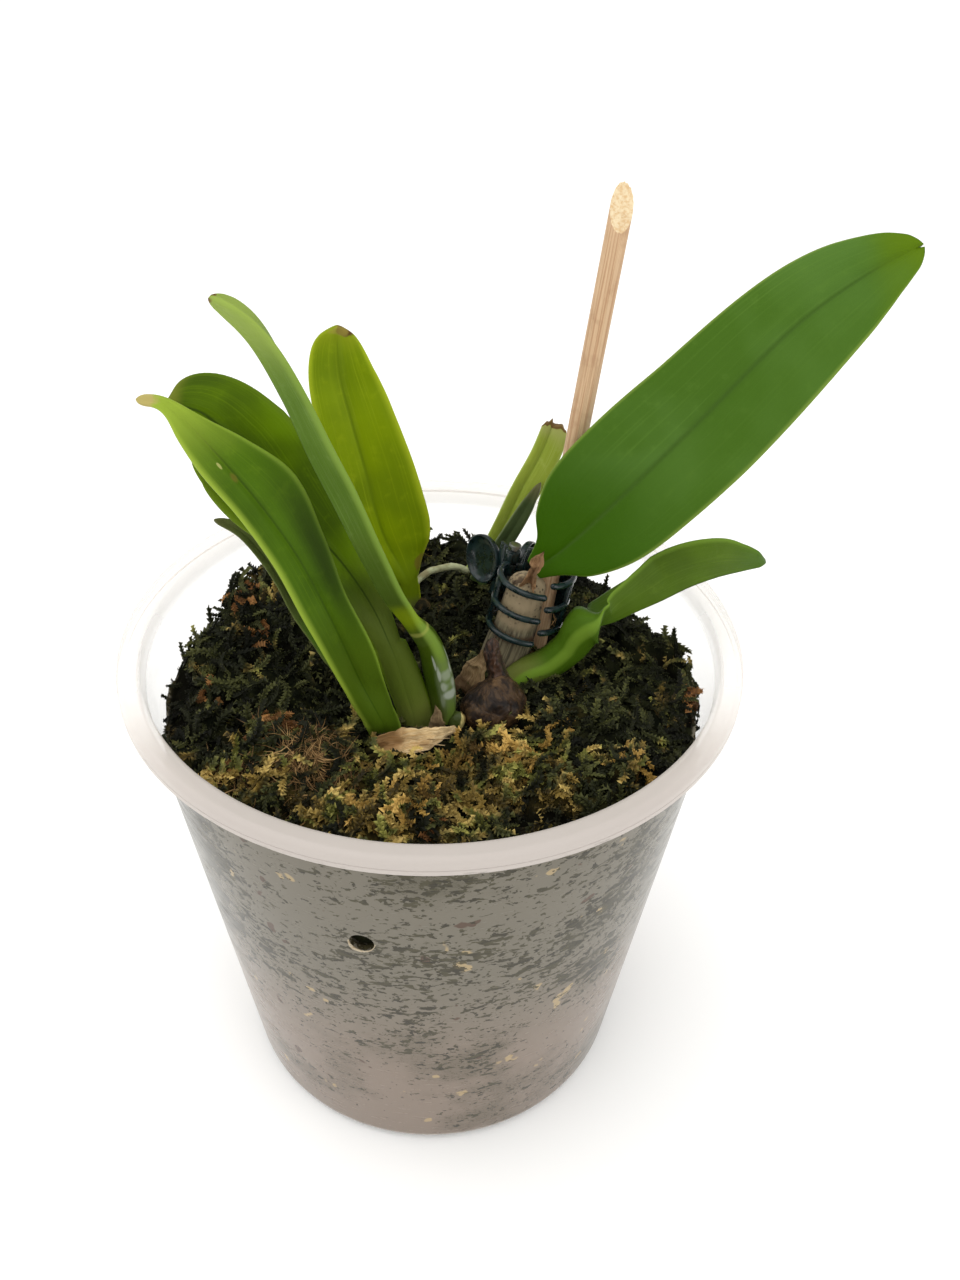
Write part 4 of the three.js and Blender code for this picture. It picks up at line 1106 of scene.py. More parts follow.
creeping = [rootRun("root_run", run) for run in roots["runs"][:4]]
feeding = [rootRun("root_run", run) for run in roots["runs"][4:]]
aerial = rootRun("root_aerial", roots["aerial"])
barkFinish, tree, shader = newMaterial("barkFinish", Roughness=0.9, Specular_IOR_Level=0.1)
crust = patches(tree, objectPlace(tree), 500, 4.0)
color = blend(tree, crust, 0.4, 0.62, tone(34, 32, 20), tone(70, 58, 34))
wire(tree, shader, Base_Color=color, height=(crust, 0.0004))
for piece in creeping:
    piece.data.materials.append(barkFinish)
rootFinish, tree, shader = newMaterial("rootFinish", Roughness=0.7)
place = objectPlace(tree)
color = patches(tree, place, 300, 3.0)
color = blend(tree, color, 0.4, 0.62, tone(176, 180, 140), tone(138, 130, 92))
wire(tree, shader, Base_Color=color, height=(patches(tree, place, 1400, 3.0), 0.0002))
for piece in feeding + [aerial]:
    piece.data.materials.append(rootFinish)
rootMass = joinPieces("root_mass", creeping + feeding)
for piece, node in ((rootMass, "rhizome"), (aerial, "aerial_root")):
    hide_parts(node)
    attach(piece, plantBody)


# dry papery scales

husks = {
    "front": {
        "path": [(-10.2, -20.2, 94.2), (-6.5, -21, 96.0), (-1, -20, 96.4), (5.1, -16.8, 96.4)],
        "facing": [(0, -0.75, 0.66), (0, -0.75, 0.66), (0, -0.6, 0.8)],
        "outline": [
            [0, 1.8], [0.08, 2.9], [0.2, 3.5], [0.36, 3.2, 2.8], [0.48, 2.2],
            [0.62, 1.4, 1.7], [0.8, 0.9, 1.2], [1, 0.2],
        ],
        "fold": [[0, 58], [0.35, 44], [0.55, 16], [1, 10]],
        "torn": 0.5,
        "crumple": 0.7,
        "fibres": [
            [(-5, -22.2, 95.6), (-3.2, -23.4, 96.4), (-1.4, -24.6, 96.6), (0.8, -26, 96.4)],
            [(-2.6, -21.4, 96), (-0.4, -21.9, 96.6), (2, -22, 96.4)],
            [(-1.2, -20.4, 96.4), (0.9, -20.7, 96.8), (2.9, -20.3, 96.6)],
        ],
        "tones": [tone(248, 220, 168), tone(212, 168, 106), tone(124, 88, 50)],
        "heel": [tone(156, 112, 60), 0.3],
    },
    "bulb": {
        "path": [(6.6, -4.2, 91.5), (7.2, -4.4, 96), (8.6, -4.2, 100), (10, -3.9, 103)],
        "facing": [(-0.5, -0.85, 0.1), (-0.5, -0.8, 0.3), (-0.4, -0.8, 0.4)],
        "outline": [[0, 2.4], [0.4, 2.9], [0.8, 1.9], [1, 0.8]],
        "crumple": 0.9,
        "fold": [[0, 26]],
        "tones": [seen(180, 152, 108), seen(128, 98, 60), seen(72, 52, 30)],
        "heel": [seen(92, 66, 36), 0.5],
    },
    "stem": {
        "path": [(0.9, -14.8, 91.6), (0.8, -14.9, 94.8), (0.2, -14.6, 99)],
        "facing": front,
        "outline": [[0, 3.0], [0.5, 1.9], [1, 0.4]],
        "crumple": 0.5,
        "fold": [[0, 24]],
        "tones": [seen(172, 146, 104), seen(122, 98, 62), seen(84, 62, 40)],
    },
    "cane": {
        "path": [(18.2, 4.6, 112.4), (18.6, 4, 115), (19.4, 3.8, 117.4), (20.3, 4.2, 120.2)],
        "facing": [(-0.4, -0.9, 0.1), (-0.6, -0.8, 0.1), (-0.8, -0.5, 0.2)],
        "outline": [[0, 2.1], [0.4, 1.5], [0.75, 1.3], [1, 0.6]],
        "crumple": 0.9,
        "fold": [[0, 34]],
        "tones": [seen(176, 136, 92), seen(124, 84, 50), seen(70, 46, 30)],
    },
}
huskForm = dict(bladeForm, thick=0.62, edge=0.34, halfColumns=12, rows=56, keel=0.0, groove=0.0, fibre=0.09)


def huskEdge(seed, torn):
    # crinkled sides and a frayed far end
    def ragged(u, s):
        frayed = smoothStep(0.86, 1.0, s) * 1.3 * bump(u * 4, seed, 0, 0.8)
        return frayed + torn * abs(u) ** 3 * bump(s * 18, u * 2, seed, 1)

    return ragged


def crumple(piece, amount, size, seed):
    # uneven creases that move both skins of a scale alike
    for vertex in piece.data.vertices:
        x, y, z = (c / mm + seed for c in vertex.co)
        for axis, (a, b) in enumerate(((0, 0), (40, 0), (0, 40))):
            shift = bump(x + a, y + b, z, size) + 0.45 * bump(x + a, y + b, z, size * 0.35)
            vertex.co[axis] += shift * amount * mm


for number, (key, part) in enumerate(husks.items()):
    name = "husk_" + key + "_scale"
    scale = blade(name, dict(part, wave=0.25), huskForm, huskEdge(number * 3.7, part.get("torn", 0.25)))
    crumple(scale, part["crumple"], 3.2, number * 7.3)
    fibres = [roundRod(name, path, huskForm["fibre"], 14, 6) for path in part.get("fibres", [])]
    scale = joinPieces(name, [scale] + fibres)
    finish, tree, shader = newMaterial("huskFinish_" + key, Roughness=0.7)
    light, dark, stain = part["tones"]
    grain = moved(tree, surfacePlace(tree), scale=(34, 3.4, 1))
    out = useGroup(tree, dryFibre, vector=grain, light=light, dark=dark, stain=stain)
    color = out["Color"]
    if "heel" in part:
        shade, end = part["heel"]
        y = separate(tree, surfacePlace(tree))[1]
        uneven = times(tree, patches(tree, objectPlace(tree), 320, 3.0), 0.4)
        share = remap(tree, plus(tree, y, uneven), end + 0.3, end + 0.1)
        color = mixTone(tree, times(tree, share, 0.8), color, shade)
    wire(tree, shader, Base_Color=color, height=(out["Height"], 0.0004))
    scale.data.materials.append(finish)
    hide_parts("husk_" + key)
    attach(scale, plantBody)
print("roots and dry scales made")


# the bamboo stake

stake = {
    "foot": (9.8, -1.4, 8.0),
    "top": (31.1, 17.8, 178.7),
    "radius": 2.0,
    "cutNormal": (0.078, -0.829, 0.554),
    "sides": 48,
    "rows": 70,
}


def makeStake(part):
    # a straight cane whose top is cut off slanting, its skin ribbed by long fibres
    foot, top = Vector(part["foot"]), Vector(part["top"])
    run = (top - foot).normalized()
    across = run.cross(Vector((0, 1, 0))).normalized()
    deep = run.cross(across)
    normal = Vector(part["cutNormal"]).normalized()
    points, faces, uvs = [], [], []
    sides, rows = part["sides"], part["rows"]
    for i in range(rows + 1):
        for turn in turnsOf(sides):
            rib = 0.035 * math.sin(19 * turn) + 0.03 * math.sin(31 * turn + 1)
            rib += 0.05 * bump(turn * 3, i * 0.12, 1, 1)
            out = across * math.cos(turn) + deep * math.sin(turn)
            side = foot + out * (part["radius"] - 0.06 + rib)
            far = (top - side).dot(normal) / run.dot(normal)  # along the run to the cut
            points.append(side + run * (far * i / rows))
    rings = [range(i * sides, (i + 1) * sides) for i in range(rows + 1)]
    for i in range(rows):
        faces += facesBetween(rings[i], rings[i + 1])
        uvs += mapBetween(sides, i / rows, (i + 1) / rows)
    # the cut face is a ring that dips a little towards its middle
    rim = points[-sides:]
    middle = sum(rim, Vector()) / sides
    ring, slots = rings[-1], [0] * len(faces)
    for share in (0.9, 0.6, 0.3):
        inner = range(len(points), len(points) + sides)
        for corner in rim:
            spot = middle.lerp(corner, share)
            points.append(spot - normal * (0.12 * (1 - share) + 0.05 * bump(*spot, 0.5)))
        faces += facesBetween(ring, inner)
        ring = inner
    faces += [list(ring), list(rings[0][::-1])]
    slots += [1] * (len(faces) - len(slots) - 1) + [0]
    uvs += [(0.5, 1.0)] * (sum(map(len, faces)) - len(uvs) - sides) + [(0.5, 0.0)] * sides
    piece = makeObject("stake_cane", points, faces, uvs, slots)
    for polygon in piece.data.polygons:
        polygon.use_smooth = polygon.material_index == 0
    return pointOut(piece)


stick = makeStake(stake)
for side, grainPlace, grainScale, tones in (
    ("Side", surfacePlace, (46, 7, 1), [(224, 190, 150), (196, 152, 112), (160, 112, 76)]),
    ("Cut", objectPlace, (1600, 1600, 1600), [(240, 220, 180), (222, 186, 136), (190, 146, 100)]),
):
    finish, tree, shader = newMaterial("bambooFinish" + side, Roughness=0.62)
    grain = moved(tree, grainPlace(tree), scale=grainScale)
    light, dark, stain = (seen(*rgb) for rgb in tones)
    out = useGroup(tree, dryFibre, vector=grain, light=light, dark=dark, stain=stain, stains=0.25)
    wire(tree, shader, Base_Color=out["Color"], height=(out["Height"], 0.0002))
    stick.data.materials.append(finish)
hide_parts("stake")
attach(stick, plantBody)


# the spring clip

# angles are degrees round the clip's ring, levels run along its axis
clip = {
    "centre": (18.9, 7.6, 108.0),
    "axis": (0.195, 0.09, 0.977),
    "ring": 6.9, "wire": 1.25, "back": 0.9, "plateRound": 0.3,
    "hingeAngle": 120, "hingeRadius": 8.2, "knuckle": 1.5, "gap": 0.3, "pin": 0.6, "halfPin": 6.6,
    "padRadius": 5.0, "padReach": 2.4, "padOverlap": 1.4,
    "dish": [
        [0, 0.2], [2.6, 0.24], [4.0, 0.4], [4.35, 0.78], [4.6, 1.16], [4.8, 1.24],
        [4.96, 1.16], [5.0, 0.9], [4.94, 0.2], [4.7, -0.12], [4.2, -0.4], [2.4, -0.48], [0, -0.5],
    ],
}
jaws = {
    "left": {
        "levels": [3.9, -1.3, -6.5], "start": 136, "end": 284, "backEnd": 188,
        "knuckles": [[4.7, 2.4], [-4.7, 2.4]], "arm": 11.8, "pad": 124, "side": -1,
    },
    "right": {
        "levels": [6.5, 1.3, -3.9], "start": 104, "end": -76, "backEnd": -28,
        "knuckles": [[2, 2.4], [-2, 2.4]], "arm": 6.4, "pad": 64, "side": 1,
    },
}


def ringPoint(angle, level, radius=None):
    turn = math.radians(angle)
    reach = radius or clip["ring"]
    return (reach * math.cos(turn), reach * math.sin(turn), level)


hingeX, hingeY, _ = ringPoint(clip["hingeAngle"], 0, clip["hingeRadius"])
clipPlace = Matrix.Translation(Vector(clip["centre"]) * mm)
clipPlace = clipPlace @ Vector((0, 0, 1)).rotation_difference(Vector(clip["axis"])).to_matrix().to_4x4()


def softened(piece, width):
    # rounded edges on a hard piece, as a plain mesh
    bevel = piece.modifiers.new("soften", "BEVEL")
    bevel.width = width * mm
    bevel.segments = 3
    bevel.limit_method = "ANGLE"
    freeze(piece)
    piece.data.set_sharp_from_angle(angle=math.radians(35))
    return piece


def hingeTube(name, radius, level, length):
    half = length / 2
    soft = min(0.25, radius * 0.4, half * 0.5)
    corner = [radius - soft, half - soft]
    rim = [[corner[0] + soft * math.sin(t), corner[1] + soft * math.cos(t)] for t in (0, 0.52, 1.05, 1.57)]
    profile = [[0, half]] + rim + [[r, -z] for r, z in rim[::-1]] + [[0, -half]]
    piece = lathe(name, profile, 40)
    piece.data.transform(Matrix.Translation(Vector((hingeX, hingeY, level)) * mm))
    return piece


def lug(name, target, level, height, start=0.0):
    # a flat bar from the hinge line out to a point
    run = Vector((target[0] - hingeX, target[1] - hingeY, 0))
    reach, run = run.length, run.normalized()
    side = Vector((-run.y, run.x, 0)) * clip["back"] / 2
    points = []
    for distance in (start, reach):
        for rise in (-height / 2, height / 2):
            for flip in (-1, 1):
                points.append(Vector((hingeX, hingeY, level + rise)) + run * distance + side * flip)
    faces = [(0, 1, 3, 2), (4, 6, 7, 5), (0, 4, 5, 1), (2, 3, 7, 6), (0, 2, 6, 4), (1, 5, 7, 3)]
    return softened(pointOut(makeObject(name, points, faces)), 0.22)


def makeJaw(side, part):
    name = "clip_" + side
    pieces = []
    start, low, high = part["start"], min(part["levels"]), max(part["levels"])
    for level in part["levels"]:
        bend = [ringPoint(start + (part["end"] - start) * t, level) for t in spread(16)]
        pieces.append(roundRod(name, bend, clip["wire"] / 2, 48, 16))
    strip = [ringPoint(start + (part["backEnd"] - start) * t, (low + high) / 2) for t in spread(8)]
    soft = clip["plateRound"]
    thick, tall = clip["back"] / 2 - soft, (high - low) / 2 - soft

    def plateSection(s):
        # a flat plate with rounded corners, the same all along
        ring = []
        for k, (a, b) in enumerate([(1, 1), (-1, 1), (-1, -1), (1, -1)]):
            for t in (0, 30, 60, 90):
                turn = math.radians(t + 90 * k)
                ring.append([a * thick + soft * math.cos(turn), b * tall + soft * math.sin(turn)])
        return ring

    pieces.append(sweep(name, strip, spread(24), [(0, 0, 1)] * 3, plateSection))
    turn = math.radians(part["pad"])

    def out(distance):
        return (hingeX + distance * math.cos(turn), hingeY + distance * math.sin(turn))

    dish = lathe(name, clip["dish"], 64)
    spot = out(clip["padReach"] + clip["padRadius"])
    padPlace = Matrix.Translation(Vector((*spot, 0)) * mm) @ Matrix.Rotation(turn, 4, "Z")
    dish.data.transform(padPlace @ Matrix.Rotation(part["side"] * math.pi / 2, 4, "X"))
    clear = clip["knuckle"] + clip["gap"]
    pieces += [dish, lug(name, out(clip["padReach"] + clip["padOverlap"]), 0, part["arm"], clear)]
    for level, length in part["knuckles"]:
        pieces.append(hingeTube(name, clip["knuckle"], level, length))
        pieces.append(lug(name, ringPoint(start, 0), level, length))
        pieces.append(lug(name, out(clip["padReach"]), level, length))
    jaw = joinPieces(name, pieces)
    jaw.data.transform(clipPlace)
    return jaw


clipFinish, tree, shader = newMaterial("clipFinish", IOR=1.5, Coat_Weight=0.6, Coat_Roughness=0.12)
place = objectPlace(tree)
wear = patches(tree, place, 500, 4.0, 0.6)
color = blend(tree, wear, 0.42, 0.66, seen(12, 30, 32), seen(24, 48, 48))
wire(tree, shader, Base_Color=color, Roughness=remap(tree, wear, 0.35, 0.65, 0.22, 0.36))
for side, part in jaws.items():
    jaw = makeJaw(side, part)
    jaw.data.materials.append(clipFinish)
    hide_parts("clip_jaw_" + side)
    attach(jaw, clipBody if side == "left" else plantBody)

spring = {"radius": 0.95, "wire": 0.25, "turns": 2.0, "half": 0.32, "steps": 40}
rivetHead = 0.6
bits = [hingeTube("clip_rivet", clip["pin"], 0, 2 * clip["halfPin"] + rivetHead)]
for end in (-1, 1):
    level = end * (clip["halfPin"] + rivetHead / 2)
    bits.append(hingeTube("clip_rivet", clip["knuckle"] - 0.3, level, rivetHead))
helix = []
for k in range(spring["steps"] + 1):
    turn = 2 * math.pi * spring["turns"] * k / spring["steps"]
    helix.append((
        hingeX + spring["radius"] * math.cos(turn),
        hingeY + spring["radius"] * math.sin(turn),
        spring["half"] * (2 * k / spring["steps"] - 1),
    ))
bits.append(roundRod("clip_rivet", helix, spring["wire"], 90, 10))
rivet = joinPieces("clip_rivet", bits)
rivet.data.transform(clipPlace)
steelFinish, tree, shader = newMaterial("steelFinish", Metallic=1.0)
scratch = patches(tree, moved(tree, objectPlace(tree), scale=(1, 1, 8)), 700, 3.0)
color = mixTone(tree, scratch, tone(150, 150, 146), tone(196, 196, 190))
wire(tree, shader, Base_Color=color, Roughness=remap(tree, scratch, 0.3, 0.7, 0.28, 0.45))
rivet.data.materials.append(steelFinish)
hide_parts("clip_pin")
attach(rivet, plantBody)
print("stake and clip made")


# the pot

pot = {
    "baseRadius": 42.3, "topRadius": 54.3, "wall": 1.0, "floor": 1.4, "corner": 3.0, "wallTop": 102.6,
    "lipSeat": 103.6, "lipTop": 106.2, "lipOuter": 58.1, "lipSkirt": 102.9, "lipRound": 1.4,
    "segments": 180,
    "holes": {"radius": 2.2, "height": 76.9, "angles": [16, 136, 256]},
    "drains": {"radius": 3.0, "height": 0.0, "ring": 24.0, "angles": [0, 90, 180, 270]},
    "haze": 0.075,
    "lipHazeAndShade": [0.2, 0.8],
    "edgeHaze": 0.3,
    "film": {"back": 84.5, "front": 101.5},
}


def potRadius(z):
    share = (z - pot["corner"]) / (pot["wallTop"] - pot["corner"])
    return pot["baseRadius"] + (pot["topRadius"] - pot["baseRadius"]) * share


pot["holes"]["ring"] = potRadius(pot["holes"]["height"])


def makePot(part):
    corner, base, top, wall = part["corner"], part["baseRadius"], part["topRadius"], part["wall"]
    outer, bend, seat, skirt = part["lipOuter"], part["lipRound"], part["lipSeat"], part["lipSkirt"]
    bendLevel = part["lipTop"] - bend
    profile = [[0, 0], [20, 0], [36, 0]] + arc(base - corner, corner, corner, -90, -4, 8)
    profile += [[potRadius(z), z] for z in range(8, 102, 6)]
    profile += [[top, part["wallTop"]], [top + 0.5, seat], [outer - 1, seat]]
    # the lip's skirt has a fine groove round it
    profile += [[outer - 0.8, skirt], [outer - 0.15, skirt], [outer, skirt + 0.15]]
    profile += [[outer, skirt + 0.95], [outer - 0.12, skirt + 1.07], [outer, skirt + 1.2]]
    profile += arc(outer - bend, bendLevel, bend, 8, 90, 9)
    profile += arc(top + 0.9, bendLevel, bend, 90, 170, 9)
    profile += [[top - wall, part["wallTop"] - 0.6]]
    profile += [[potRadius(z) - wall, z] for z in range(98, 7, -6)]
    profile += arc(base - corner, corner + part["floor"] - wall, corner - wall, -4, -90, 6)
    profile += [[20, part["floor"]], [0, part["floor"]]]
    body = lathe("pot_clear", profile, part["segments"])
    cutters = []
    for kind in ("holes", "drains"):
        hole = part[kind]
        for angle in hole["angles"]:
            cutter = lathe("cutter", [[0, 6], [hole["radius"], 6], [hole["radius"], -6], [0, -6]], 40)
            place = Matrix.Rotation(math.radians(angle), 4, "Z")
            place = place @ Matrix.Translation(Vector((hole["ring"], 0, hole["height"])) * mm)
            if kind == "holes":
                place = place @ Matrix.Rotation(math.pi / 2, 4, "Y")
            cutter.data.transform(place)
            cutters.append(cutter)
    knife = joinPieces("cutter", cutters)
    cut = body.modifiers.new("holes", "BOOLEAN")
    cut.operation = "DIFFERENCE"
    cut.solver = "EXACT"
    cut.object = knife
    freeze(body)
    bpy.data.objects.remove(knife)
    body.data.set_sharp_from_angle(angle=math.radians(32))
    return body


def meltedRim(angle, seed):
    # the uneven bead that a hot tool leaves round a hole
    hole = pot["holes"]
    turn = math.radians(angle)
    out = Vector((math.cos(turn), math.sin(turn), 0.0))
    side = Vector((-math.sin(turn), math.cos(turn), 0.0))
    centre = out * (hole["ring"] - 0.1) + Vector((0, 0, hole["height"]))
    points, rings, tube = [], [], 14
    for t in turnsOf(72):
        lobes = 0.5 + 0.5 * bump(math.cos(t) * 2, math.sin(t) * 2, seed, 1)
        thick = 0.05 + 0.2 * lobes**2 + 0.22 * max(0.0, -math.sin(t + 0.5)) ** 2
        radius = hole["radius"] + 0.05 + thick * 0.8
        way = side * math.cos(t) + Vector((0, 0, 1)) * math.sin(t)
        rings.append(range(len(points), len(points) + tube))
        for a in turnsOf(tube):
            rough = 1 + 0.22 * bump(t * 4, a, seed, 0.6)
            spot = centre + way * (radius + thick * math.cos(a) * rough)
            points.append(spot + out * (0.42 * thick * math.sin(a) * rough))
    faces = []
    for low, high in zip(rings, rings[1:] + rings[:1]):
        faces += facesBetween(low, high)
    return pointOut(makeObject("pot_bead", points, faces))


potBody = makePot(pot)
beads = [meltedRim(angle, 3.0 + k) for k, angle in enumerate(pot["holes"]["angles"])]
potFinish, tree, shader = newMaterial("potFinish", IOR=1.5, Specular_IOR_Level=0.2)
place = objectPlace(tree)
cloud = patches(tree, place, 46, 4.0, 0.6)
scuff = patches(tree, moved(tree, place, scale=(1, 1, 5)), 160, 5.0, 0.7)
corner = separate(tree, place)
height = corner[2]
lipShare = remap(tree, height, 0.1012, 0.1024)
wallShare = minus(tree, 1.0, lipShare)
clouded = times(tree, remap(tree, cloud, 0.3, 0.7, 0.75, 1.3), wallShare)
alpha = times(tree, plus(tree, clouded, lipShare), pot["haze"])
worn = times(tree, remap(tree, scuff, 0.6, 0.75), wallShare)
alpha = plus(tree, alpha, times(tree, worn, 0.05))
# the lip is denser and greyer in front, where moss lies close under it: painted shade for the dark moss and
# its shadow seen through the lip
inFront = remap(tree, corner[1], -0.008, -0.05)
shadedFront = remap(tree, inFront, 0.0, 1.0, *pot["lipHazeAndShade"])
alpha = plus(tree, alpha, times(tree, lipShare, shadedFront))
# the wall looks denser where it turns away
facing = addNode(tree, "LayerWeight", {"Blend": 0.5}).outputs["Facing"]
alpha = plus(tree, alpha, times(tree, calc(tree, "POWER", facing, 4.0), pot["edgeHaze"]))
cloudy = times(tree, remap(tree, cloud, 0.35, 0.65), wallShare)
color = mixTone(tree, cloudy, tone(232, 224, 216), tone(224, 216, 206))
# painted shade: the front of the lip takes a greyer tone for the dark moss and shadow behind it
color = mixTone(tree, times(tree, lipShare, inFront), color, seen(206, 197, 190))
# a film of damp and pressed moss lies on the wall up to where the moss touches it, higher in front
filmTop = remap(tree, corner[1], -0.008, -0.034, pot["film"]["back"] * mm, pot["film"]["front"] * mm)
touching = minus(tree, height, filmTop)
uneven = swing(tree, scuff, 0.012)
film = remap(tree, plus(tree, touching, uneven), 0.0012, -0.0012)
film = times(tree, film, remap(tree, height, 0.0012, 0.003))
pressed = useGroup(tree, pressedMoss)
color = mixTone(tree, film, color, pressed["Color"])
alpha = calc(tree, "MAXIMUM", alpha, film)
rough = mixTone(tree, lipShare, remap(tree, scuff, 0.4, 0.7, 0.16, 0.3), (0.35, 0.35, 0.35, 1.0))
wire(tree, shader, Base_Color=color, Alpha=alpha, Roughness=rough)
beadFinish, tree, shader = newMaterial("beadFinish", Roughness=0.35)
crumb = patches(tree, objectPlace(tree), 900, 4.0)
color = blend(tree, crumb, 0.4, 0.65, tone(206, 190, 160), tone(120, 100, 70))
wire(tree, shader, Base_Color=color, Alpha=remap(tree, crumb, 0.35, 0.6, 0.35, 0.95), height=(crumb, 0.0002))
potBody.data.materials.append(potFinish)
for bead in beads:
    bead.data.materials.append(beadFinish)
clearPot = joinPieces("pot_clear", [potBody] + beads)
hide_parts("pot")
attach(clearPot, plantBody)
print("pot made")


# the moss

moss = {
    "level": 93,
    "wallContact": 84,
    "clumps": 46,
    "seed": 7,
    "humps": [
        [-27, 27, 10.5, 17], [-41, 10, 3, 9], [0, 42, 5, 14], [28, 28, 6, 11], [44, 8, 3, 9],
        [-24, -24, 3.5, 9], [-6, -33, 3.5, 10], [15, -31, 3, 9], [32, -22, 2.5, 9],
    ],
    # small tufts that stand on the humps
    "tufts": [
        [3, 17, 2.4, 6], [-21, -24, 3.4, 4.5], [-34, -27, 2.4, 4], [-28.7, -17.6, 2.2, 3.4],
        [13.4, -26.8, 2.2, 3.6], [6.5, -22, 1.8, 3.4], [-3.3, -37.7, 1.8, 3], [34, -30, 1.8, 3.4],
        [23, -13, 1.6, 3], [-40, 19, 2.4, 3.4], [-42, -10, 2, 3], [48, -6, 2.4, 3], [10, -15.5, -1.6, 4.5],
    ],
    "shrink": [
        [-180, 0.5], [-150, 0.4], [-30, 0.4], [0, 1], [10, 2.5], [30, 6.5],
        [60, 8], [95, 7], [130, 6.5], [157, 6.5], [168, 4], [180, 0.5],
    ],
    "around": 260,
    "rings": 84,
    "sideRows": 40,
    "gap": 0.35,
    "droop": {"start": 0.86, "steepness": 35},
    # size and height of the clumps, of the smaller ones on them and of the crumbs over both
    "relief": {"clump": [12, 2.9], "small": [6, 1.9], "crumb": [1.4, 0.6], "sink": 3.0, "calmed": 0.6},
}
# places of warmer growth, of dry tan tufts and of rusty ones: [x, y, radius, strength]
growth = {
    "olive": [
        [0, -30, 15, 1], [13, -26, 10, 1], [-4, -40, 11, 0.9], [-20, -32, 11, 0.95], [-36, -26, 9, 0.85],
        [24, -31, 7, 0.45], [24, -13, 5, 0.5], [34, -30, 6, 0.5], [9, -20, 6, 0.7], [-33, -6, 8, 0.15],
    ],
    "tan": [
        [-21.5, -28.2, 4.8, 1], [-33.8, -27.1, 2.6, 0.9], [-41.5, -24.2, 2, 0.9], [-14, -31, 2.4, 0.6],
        [25, 20, 2.4, 0.5],
    ],
    "gold": [
        [6.5, -22, 2.6, 1], [13.4, -27, 3, 1], [-3.3, -37.7, 2.6, 1], [34, -31, 2.4, 0.9],
        [23.5, -13.6, 2.2, 0.8], [1, -25, 3, 0.5], [17, -23, 2.6, 0.7], [-11, -36, 2.6, 0.5],
        [20, -34, 2, 0.5],
    ],
    "rust": [
        [-28.7, -17.6, 3.2, 0.7], [-25, -20, 2.2, 0.7], [-38.7, 17.8, 1.7, 1], [-33.4, 9.1, 1.4, 1],
        [-43.6, -5, 1.3, 1], [50, -7, 2.2, 1], [-0.8, -41.3, 2.2, 0.8], [-31, -13.5, 1.6, 0.9],
        [-36, -28, 1.8, 0.7],
    ],
}
# where scales and the bulb lie open the moss leaves them clear: [x, y, radius, strength]
clearPlaces = [
    [-9, -20.5, 2.6, 1], [-5.5, -21.5, 2.8, 1], [-1.5, -20.5, 2.8, 1], [2.5, -18.6, 2.6, 1],
    [1, -15.8, 2.6, 1], [-7, -24, 2.4, 1], [-2.5, -23.4, 2.4, 1], [1.8, -21.6, 1.8, 0.8], [4.5, -14, 2.4, 1],
    [8, -15, 3, 1], [12.5, -14.8, 3, 1], [16.5, -12, 2.6, 0.8], [-8.5, -16.5, 2.4, 0.8], [7, -7, 2.4, 0.8],
]
# where pieces stand in the moss it is calmer: [x, y, radius]
calmPlaces = [
    [-4, -18, 9], [2, -12, 8], [11, -8, 7], [14, 5, 6], [20, 1, 6], [8, 31, 6], [-5, 22, 5], [-17, -5, 4],
]


def lehmer(seed):
    # the draws that shaped the solid moss as well
    largest = 2147483647
    state = seed
    while True:
        state = state * 16807 % largest
        yield state / largest


def wallAt(z):
    return potRadius(z) - pot["wall"] - moss["gap"]


def clumpRelief(x, y):
    # rounded clumps with deep creases between them, and loose crumbs over them
    form = moss["relief"]
    wx, wy = x + 3.0 * bump(x, y, 20, 6), y + 3.0 * bump(x, y, 30, 6)
    clump = min(1.0, 3.4 * abs(bump(wx, wy, 0, form["clump"][0]))) ** 0.7
    small = min(1.0, 3.2 * abs(bump(wx, wy, 40, form["small"][0]))) ** 0.7
    calm = min(1.0, sum(math.exp(-((x - a) ** 2 + (y - b) ** 2) / r**2) for a, b, r in calmPlaces))
    relief = form["clump"][1] * clump + form["small"][1] * small - form["sink"]
    relief = relief * (1 - form["calmed"] * calm) + form["crumb"][1] * bump(x, y, 5, form["crumb"][0])
    return relief, min(1.0, 0.55 * clump + 0.6 * small)


